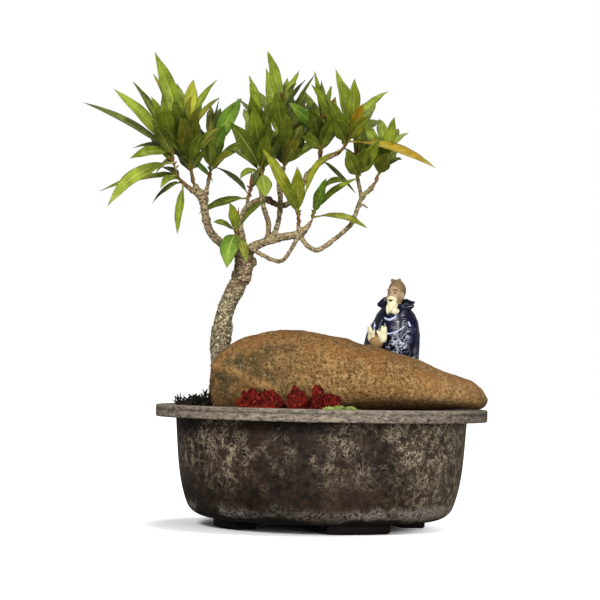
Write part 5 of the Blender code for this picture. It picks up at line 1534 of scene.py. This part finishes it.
def add_fibre(shape, root, tip, radius, bow, sides=5):
    """One thin curved fibre that narrows to its tip."""
    points = [root.lerp(tip, t) + bow * 4 * t * (1 - t) for t in (0.0, 0.25, 0.5, 0.75, 1.0)]
    add_tube(shape, points, [radius, radius, radius * 0.85, radius * 0.6, radius * 0.25], sides)


def any_way(draw, low, high):
    """A random vector, level parts from -1 to 1 and upward part from low to high."""
    return Vector((draw.uniform(-1, 1), draw.uniform(-1, 1), draw.uniform(low, high)))


def build_moss(settings):
    """A cushion of green moss at the front rim and a dark tangle of dry fibres at the left."""
    draw = random.Random(settings.seed)
    shape = bmesh.new()
    for x, depth, wide, high in MOSS_CUSHIONS:
        add_ball(shape, spot(x, depth, SOIL_LEVEL / MM), [wide * MM, wide * 0.8 * MM, high * MM], 16, 10)
    for _ in range(settings.shoots):
        x, depth, wide, high = draw.choice(MOSS_CUSHIONS)
        angle, rise = draw.uniform(0, TURN), draw.uniform(0.1, 1.4)
        way = Vector((math.cos(angle) * math.cos(rise), math.sin(angle) * math.cos(rise), math.sin(rise)))
        out = Vector((way.x * wide, way.y * wide * 0.8, way.z * high)) * MM * 0.9
        root = spot(x, depth, SOIL_LEVEL / MM) + out
        tip = root + (way + UP * 0.5).normalized() * draw.uniform(1.0, 2.4) * MM
        bow = Vector((draw.uniform(-1, 1), draw.uniform(-1, 1), 0)) * 0.2 * MM
        add_fibre(shape, root, tip, 0.30 * MM, bow, 4)
    moss = as_object("green_moss", shape)
    dress(moss, moss_surface("moss", paint(84, 100, 36), paint(162, 178, 96)))
    settle(moss, "soil_mix")

    shape = bmesh.new()
    for x, depth, wide, high in FIBRE_MOUNDS:
        add_ball(shape, spot(x, depth, SOIL_LEVEL / MM), [wide * MM, wide * 0.9 * MM, high * MM], 16, 10)
    for _ in range(settings.fibres):
        x, depth, wide, high = draw.choice(FIBRE_MOUNDS)
        root = spot(x + draw.uniform(-1, 1) * wide * 0.8, depth + draw.uniform(-1, 1) * wide * 0.7,
                    SOIL_LEVEL / MM + draw.uniform(0.0, high * 0.6))
        lean = any_way(draw, 0.1, 1.0).normalized()
        tip = root + lean * draw.uniform(4, 11) * MM
        bow = any_way(draw, -0.4, 0.8) * 1.6 * MM
        add_fibre(shape, root, tip, draw.uniform(0.5, 1.3) * MM, bow)
        if draw.random() < 0.4:
            side = any_way(draw, 0, 1).normalized()
            fork = root.lerp(tip, 0.6)
            add_fibre(shape, fork, fork + side * draw.uniform(2, 4) * MM, 0.45 * MM, bow * 0.2)
    dry = as_object("dry_fibres", shape)
    dress(dry, moss_surface("fibres", paint(7, 6, 5), paint(34, 29, 24)))
    settle(dry, "soil_mix")


def moss_surface(name, dark, light):
    """Soft growth, lighter in patches."""
    material, tree, shader, place = surface(name)
    patch = blotches(tree, place, 3 * MM, 0.35, 0.65)
    colour = mixed(tree, patch, dark, light)
    finish_surface(tree, shader, colour, 0.9, noise_value(tree, place, 0.8 * MM, 4.0), 0.3 * MM)
    return material


# Glazed figure

def figure_place(x, y, z):
    """A point of the figure, from its own millimetres to its place behind the rock."""
    stand = spot(*FIGURE_PLACE, FIGURE_FOOT)
    return stand + Matrix.Rotation(FIGURE_TURN, 3, "Z") @ (Vector((x, y, z)) * MM)


def add_robe(shape):
    """The robe with soft upright folds that fade towards the shoulders."""
    levels = []
    for (z0, w0, d0), (z1, w1, d1) in zip(ROBE_RINGS, ROBE_RINGS[1:]):
        count = max(1, round(z1 - z0))
        levels += [(z0 + (z1 - z0) * k / count, w0 + (w1 - w0) * k / count, d0 + (d1 - d0) * k / count)
                   for k in range(count)]
    levels.append(ROBE_RINGS[-1])
    rings = []
    for z, wide, deep in levels:
        ring = []
        for k in range(ROBE_SIDES):
            a = TURN * k / ROBE_SIDES
            fold = 0.035 * math.sin(9 * a + 0.9 * math.sin(z / 14)) + 0.02 * math.sin(17 * a + z / 9)
            size = 1 + fold * ease(66, 40, z)
            place = figure_place(wide * math.cos(a) * size, deep * math.sin(a) * size, z)
            ring.append(shape.verts.new(place))
        rings.append(ring)
    for low, high in zip(rings, rings[1:]):
        bridge(shape, low, high)
    shape.faces.new(rings[0])
    shape.faces.new(rings[-1])


FIGURE_TONES = {
    "blue": (*paint(5, 6, 30)[:3], 0.0),
    "navy": (*paint(6, 8, 26)[:3], 0.0),
    # The pale streaks' tone: frosted thin glaze and painted highlights
    "frost": (*paint(176, 186, 212)[:3], 0.1),
    "skin": (*paint(160, 136, 104)[:3], 1.0),
    "hair": (*paint(118, 97, 68)[:3], 1.0),
    "fruit": (*paint(142, 112, 70)[:3], 0.9),
    "cream": (*paint(222, 212, 172)[:3], 0.6),
    "dark": (*paint(46, 32, 20)[:3], 0.8),
}


def figure_part(shape, rows):
    """One rounded part of the figure, or one tube where each point has its radius."""
    if len(rows[0]) == 3:
        centre, radii = rows
        turn = Matrix.Rotation(FIGURE_TURN, 4, "Z")
        size = Matrix.Diagonal([r * MM for r in radii]).to_4x4()
        place = Matrix.Translation(figure_place(*centre)) @ turn @ size
        bmesh.ops.create_uvsphere(shape, u_segments=28, v_segments=18, radius=1.0, matrix=place)
    else:
        points, radii = eased_path([figure_place(*p[:3]) for p in rows], [p[3] * MM for p in rows], 0.8 * MM)
        add_tube(shape, points, radii, 18)


def build_figure(settings):
    """The clay figure: its parts grown together, each region keeping its own glaze."""
    whole, skins = bmesh.new(), []
    for tone, *rows in [("blue",), *FIGURE_PARTS]:
        for target in (whole, bmesh.new()):
            if rows:
                figure_part(target, rows)
            else:
                add_robe(target)
            if target is not whole:
                bmesh.ops.recalc_face_normals(target, faces=target.faces)
                skins.append((tone, BVHTree.FromBMesh(target)))
                target.free()
    piece = remeshed("clay_figure", whole, settings.figure_voxel)
    tones = []
    for v in piece.data.vertices:
        best = min(((tree.find_nearest(v.co)[3], tone) for tone, tree in skins), key=lambda found: found[0])
        tones.append(FIGURE_TONES[best[1]])
    store(piece.data, "glaze", "FLOAT_COLOR", tones)
    back = Matrix.Rotation(-FIGURE_TURN, 3, "Z")
    stand = figure_place(0, 0, 0)
    # Pale streaks over the sleeve, its edge, the lapel and the hem: frosted thin glaze and painted highlights
    frost_and_highlights = []
    for v in piece.data.vertices:
        x, _, z = (back @ (v.co - stand)) / MM
        sleeve = ease(1, 4, x) * ease(16.5, 13, x) * ease(30, 33, z) * ease(59, 50, z)
        edge = 0.8 * ease(1.6, 0.4, abs(x - 10.5 - 0.25 * (58 - z))) * ease(44, 50, z) * ease(68, 62, z)
        lapel = 0.7 * ease(1.2, 0.3, abs(x + 7.5 - 0.3 * (z - 50))) * ease(46, 52, z) * ease(64, 58, z)
        hem = 0.9 * ease(34, 31, z) * ease(1, 4, x)
        frost_and_highlights.append(max(sleeve, edge, lapel, hem))
    store(piece.data, "frost", "FLOAT", frost_and_highlights)
    dress(piece, glaze_surface())
    settle(piece, "blue_glaze", "figurine")


def glaze_surface():
    """Runny cobalt glaze over pale clay, with bare tan clay for skin and hair."""
    material, tree, shader, place = surface("blue_glaze")
    tone = read_attribute(tree, "glaze", "Color")
    bare = read_attribute(tree, "glaze", "Alpha")
    run = node(tree, "ShaderNodeMapping", {"Vector": place, "Scale": (1.0, 1.0, 0.3)})
    cloud = blotches(tree, run, 6 * MM, 0.35, 0.70)
    colour = laid(tree, tone, cloud, 0.35, (120, 120, 150), "MULTIPLY")
    glazed = maths(tree, "SUBTRACT", 1.0, bare)
    thin = times(tree, squiggles(tree, run, 7 * MM, 0.010), glazed)
    colour = laid(tree, colour, thin, 0.30, (96, 108, 160))
    # Pale streaks, partly frosted thin glaze and partly painted highlights
    frost = times(tree, read_attribute(tree, "frost"), glazed)
    wide, slim = squiggles(tree, run, 5 * MM, 0.050), squiggles(tree, place, 3.2 * MM, 0.042)
    streak = maths(tree, "MAXIMUM", wide, slim)
    frost = times(tree, times(tree, streak, frost), 0.68)
    colour = mixed(tree, frost, colour, paint(206, 212, 226))
    fine = noise_value(tree, place, 0.9 * MM, 4.0)
    dirt = times(tree, ramped(tree, fine, 0.48, 0.68), bare)
    colour = laid(tree, colour, dirt, 0.35, (96, 74, 44))
    rough = maths(tree, "MULTIPLY_ADD", bare, 0.30, 0.30)
    finish_surface(tree, shader, colour, rough, fine, 0.05 * MM, 0.3, 0.18)
    tree.links.new(times(tree, glazed, 0.25), shader.inputs["Coat Weight"])
    shader.inputs["Coat Roughness"].default_value = 0.16
    return material


# Stage

def floor_surface(settings):
    """White to the camera, but a softer grey to the light that bounces up under the pot."""
    white = bpy.data.materials.new("studio_white")
    white.use_nodes = True
    tree = white.node_tree
    seen = tree.nodes["Principled BSDF"]
    seen.inputs["Base Color"].default_value = paint(*settings.floor_tone)
    seen.inputs["Roughness"].default_value = 0.9
    # Painted light: the floor glows white, more so away from the pot, with no glow right under it.
    seen.inputs["Emission Color"].default_value = (1.0, 1.0, 1.0, 1.0)
    place = put(tree, "ShaderNodeTexCoord").outputs["Object"]
    away = put(tree, "ShaderNodeVectorMath", {0: place}, operation="LENGTH").outputs["Value"]
    painted_floor_glow = times(tree, ramped(tree, away, 0.16, 0.7, 0.72, 1.0), ramped(tree, away, 0.07, 0.105))
    tree.links.new(painted_floor_glow, seen.inputs["Emission Strength"])
    bounced = node(tree, "ShaderNodeBsdfDiffuse", {"Color": (0.22, 0.21, 0.20, 1.0)})
    ray = tree.nodes.new("ShaderNodeLightPath").outputs["Is Camera Ray"]
    both = node(tree, "ShaderNodeMixShader", {0: ray, 1: bounced, 2: seen.outputs[0]})
    tree.links.new(both, tree.nodes["Material Output"].inputs["Surface"])
    return white


def world_light(settings):
    """A world that the camera sees as white and that lights the bonsai softly."""
    world = bpy.data.worlds.new("studio")
    world.use_nodes = True
    tree = world.node_tree
    soft = tree.nodes["Background"]
    soft.inputs[0].default_value = (1.0, 1.0, 1.0, 1.0)
    soft.inputs[1].default_value = settings.world_light
    white = node(tree, "ShaderNodeBackground", {0: (1.0, 1.0, 1.0, 1.0), 1: 1.0})
    ray = tree.nodes.new("ShaderNodeLightPath").outputs["Is Camera Ray"]
    both = node(tree, "ShaderNodeMixShader", {0: ray, 1: soft.outputs[0], 2: white})
    tree.links.new(both, tree.nodes["World Output"].inputs[0])
    return world


def build_stage(settings):
    """A white floor, soft studio light and the camera at the photograph's place."""
    shape = bmesh.new()
    bmesh.ops.create_circle(shape, cap_ends=True, segments=96, radius=6.0)
    floor = as_object("studio_floor", shape)
    floor.data.materials.append(floor_surface(settings))
    bpy.context.scene.world = world_light(settings)
    for name, place, size, power in LAMPS:
        lamp = bpy.data.lights.new(name, "AREA")
        lamp.shape, lamp.size, lamp.energy = "SQUARE", size, power
        thing = bpy.data.objects.new(name, lamp)
        thing.location = Vector(place)
        aim = Vector((0.0, 0.0, 0.12)) - thing.location
        thing.rotation_euler = aim.to_track_quat("-Z", "Y").to_euler()
        bpy.context.scene.collection.objects.link(thing)

    lens = bpy.data.cameras.new("camera")
    lens.lens = 36.0 * -EYE.y / settings.seen_width
    lens.clip_start = 0.05
    camera = bpy.data.objects.new("camera", lens)
    camera.location = EYE + SLIDE
    camera.rotation_euler = (math.radians(90 + CAMERA_LIFT), 0.0, 0.0)
    camera.rotation_euler.rotate_axis("Z", math.radians(CAMERA_ROLL))
    bpy.context.scene.collection.objects.link(camera)
    bpy.context.scene.camera = camera
    bpy.context.scene.view_settings.view_transform = "Standard"


# Add-on

class BONSAI_PG_leaves(bpy.types.PropertyGroup):
    section: bpy.props.IntProperty(
        name="Section Points", description="Points round a blade's cross-section", default=20, min=8, max=32)
    wave: bpy.props.FloatProperty(
        name="Edge Wave", description="How far the leaf margins wave", default=0.25 * MM, min=0.0,
        max=1.0 * MM, unit="LENGTH", precision=4)
    speck_share: bpy.props.FloatProperty(
        name="Dust Specks", description="Share of the upper sides covered by pale specks", default=0.05,
        min=0.0, max=1.0, subtype="FACTOR")


class BONSAI_PG_wood(bpy.types.PropertyGroup):
    voxel: bpy.props.FloatProperty(
        name="Skin Detail", description="Size of the smallest detail of the bark's skin", default=0.6 * MM,
        min=0.3 * MM, max=2.0 * MM, unit="LENGTH", precision=4)
    scale_size: bpy.props.FloatProperty(
        name="Bark Plates", description="Width of one plate of bark", default=2.3 * MM, min=1.0 * MM,
        max=10.0 * MM, unit="LENGTH", precision=4)
    crack_depth: bpy.props.FloatProperty(
        name="Bark Relief", description="How deep the bark's cracks are", default=0.9 * MM, min=0.0,
        max=2.0 * MM, unit="LENGTH", precision=4)


class BONSAI_PG_stones(bpy.types.PropertyGroup):
    stations: bpy.props.IntProperty(
        name="Rock Stations", description="Sections along the rock", default=210, min=20, max=400)
    sides: bpy.props.IntProperty(
        name="Rock Sides", description="Points round each section", default=130, min=16, max=300)
    pits: bpy.props.FloatProperty(
        name="Rock Pitting", description="Depth of the rock's pits", default=0.6 * MM, min=0.0, max=3.0 * MM,
        unit="LENGTH", precision=4)
    fineness: bpy.props.IntProperty(
        name="Lava Detail", description="Subdivisions of each lava stone", default=5, min=2, max=6)
    planes: bpy.props.IntProperty(
        name="Broken Faces", description="Number of broken faces on each lava stone", default=16, min=4,
        max=60)


class BONSAI_PG_pot(bpy.types.PropertyGroup):
    sides: bpy.props.IntProperty(
        name="Sides", description="Facets round the pot", default=224, min=32, max=512)
    spacing: bpy.props.FloatProperty(
        name="Crumb Spacing", description="Least distance between two soil crumbs", default=1.7 * MM,
        min=0.5 * MM, max=10.0 * MM, unit="LENGTH", precision=4)
    crumb: bpy.props.FloatProperty(
        name="Crumb Size", description="Usual width of a soil crumb", default=2.2 * MM, min=0.5 * MM,
        max=6.0 * MM, unit="LENGTH", precision=4)


class BONSAI_PG_growth(bpy.types.PropertyGroup):
    seed: bpy.props.IntProperty(name="Seed", description="Changes how moss and fibres lie", default=4)
    shoots: bpy.props.IntProperty(
        name="Moss Shoots", description="Number of moss shoots", default=700, min=0, max=3000)
    fibres: bpy.props.IntProperty(
        name="Dry Fibres", description="Number of dry fibres at the left", default=150, min=0, max=1000)


class BONSAI_PG_figure(bpy.types.PropertyGroup):
    figure_voxel: bpy.props.FloatProperty(
        name="Figure Detail", description="Size of the figure's smallest detail", default=0.42 * MM,
        min=0.3 * MM, max=2.0 * MM, unit="LENGTH", precision=4)


class BONSAI_PG_stage(bpy.types.PropertyGroup):
    floor_tone: bpy.props.IntVectorProperty(
        name="Floor Tone", description="The floor's screen colour, 0 to 255", default=(250, 250, 250),
        min=0, max=255)
    world_light: bpy.props.FloatProperty(
        name="World Light", description="Strength of the light from all round", default=0.34, min=0.0,
        max=5.0)
    seen_width: bpy.props.FloatProperty(
        name="Seen Width", description="Width that the camera sees at the trunk", default=0.369, min=0.1,
        max=2.0, unit="LENGTH")


class BONSAI_OT_leaves(bpy.types.Operator):
    """Grow the leafy shoots from the table of leaves"""
    bl_idname = "bonsai.leaves"
    bl_label = "Leafy Shoots"
    bl_options = {"REGISTER", "UNDO"}

    def execute(self, context):
        build_leaves(context.scene.bonsai_leaves)
        return {"FINISHED"}


class BONSAI_OT_trunk(bpy.types.Operator):
    """Grow the trunk, roots and branches with their bark"""
    bl_idname = "bonsai.trunk"
    bl_label = "Trunk and Branches"
    bl_options = {"REGISTER", "UNDO"}

    def execute(self, context):
        build_trunk(context.scene.bonsai_wood)
        return {"FINISHED"}


class BONSAI_OT_rock(bpy.types.Operator):
    """Shape the sandstone rock"""
    bl_idname = "bonsai.rock"
    bl_label = "Sandstone Rock"
    bl_options = {"REGISTER", "UNDO"}

    def execute(self, context):
        build_rock(context.scene.bonsai_stones)
        return {"FINISHED"}


class BONSAI_OT_lava(bpy.types.Operator):
    """Shape the red lava stones"""
    bl_idname = "bonsai.lava"
    bl_label = "Lava Stones"
    bl_options = {"REGISTER", "UNDO"}

    def execute(self, context):
        build_stones(context.scene.bonsai_stones)
        return {"FINISHED"}


class BONSAI_OT_pot(bpy.types.Operator):
    """Turn the plastic pot with its feet and drain holes"""
    bl_idname = "bonsai.pot"
    bl_label = "Pot"
    bl_options = {"REGISTER", "UNDO"}

    def execute(self, context):
        build_pot(context.scene.bonsai_pot)
        return {"FINISHED"}


class BONSAI_OT_soil(bpy.types.Operator):
    """Dress the soil and strew its crumbs"""
    bl_idname = "bonsai.soil"
    bl_label = "Soil"
    bl_options = {"REGISTER", "UNDO"}

    def execute(self, context):
        build_soil(context.scene.bonsai_pot)
        return {"FINISHED"}


class BONSAI_OT_growth(bpy.types.Operator):
    """Grow the moss and the dry fibres"""
    bl_idname = "bonsai.growth"
    bl_label = "Moss and Fibres"
    bl_options = {"REGISTER", "UNDO"}

    def execute(self, context):
        build_moss(context.scene.bonsai_growth)
        return {"FINISHED"}


class BONSAI_OT_figure(bpy.types.Operator):
    """Model the glazed figure"""
    bl_idname = "bonsai.figure"
    bl_label = "Glazed Figure"
    bl_options = {"REGISTER", "UNDO"}

    def execute(self, context):
        build_figure(context.scene.bonsai_figure)
        return {"FINISHED"}


class BONSAI_OT_stage(bpy.types.Operator):
    """Set up the floor, the light and the camera"""
    bl_idname = "bonsai.stage"
    bl_label = "Stage and Camera"
    bl_options = {"REGISTER", "UNDO"}

    def execute(self, context):
        build_stage(context.scene.bonsai_stage)
        return {"FINISHED"}


class BONSAI_PT_panel(bpy.types.Panel):
    """The bonsai's settings and steps"""
    bl_label = "Ficus Bonsai"
    bl_idname = "BONSAI_PT_panel"
    bl_space_type = "VIEW_3D"
    bl_region_type = "UI"
    bl_category = "Bonsai"

    def draw(self, context):
        for key, (group, operators) in STEPS.items():
            box = self.layout.box()
            held = getattr(context.scene, "bonsai_" + key)
            for name in group.__annotations__:
                box.prop(held, name)
            for operator in operators:
                box.operator(operator.bl_idname)


# Settings and the operators that read them, in the order they run
STEPS = {
    "stage": (BONSAI_PG_stage, (BONSAI_OT_stage,)),
    "leaves": (BONSAI_PG_leaves, (BONSAI_OT_leaves,)),
    "wood": (BONSAI_PG_wood, (BONSAI_OT_trunk,)),
    "stones": (BONSAI_PG_stones, (BONSAI_OT_rock, BONSAI_OT_lava)),
    "pot": (BONSAI_PG_pot, (BONSAI_OT_pot, BONSAI_OT_soil)),
    "growth": (BONSAI_PG_growth, (BONSAI_OT_growth,)),
    "figure": (BONSAI_PG_figure, (BONSAI_OT_figure,)),
}


def register():
    for key, (group, operators) in STEPS.items():
        bpy.utils.register_class(group)
        setattr(bpy.types.Scene, "bonsai_" + key, bpy.props.PointerProperty(type=group))
        for operator in operators:
            bpy.utils.register_class(operator)
    bpy.utils.register_class(BONSAI_PT_panel)


def unregister():
    bpy.utils.unregister_class(BONSAI_PT_panel)
    for key, (group, operators) in reversed(STEPS.items()):
        for operator in operators:
            bpy.utils.unregister_class(operator)
        delattr(bpy.types.Scene, "bonsai_" + key)
        bpy.utils.unregister_class(group)


def main():
    register()
    for _, operators in STEPS.values():
        for operator in operators:
            name = operator.bl_idname.split(".")[1]
            if getattr(bpy.ops.bonsai, name)() != {"FINISHED"}:
                raise RuntimeError(f"{operator.bl_label} did not finish")


if __name__ == "__main__":
    main()
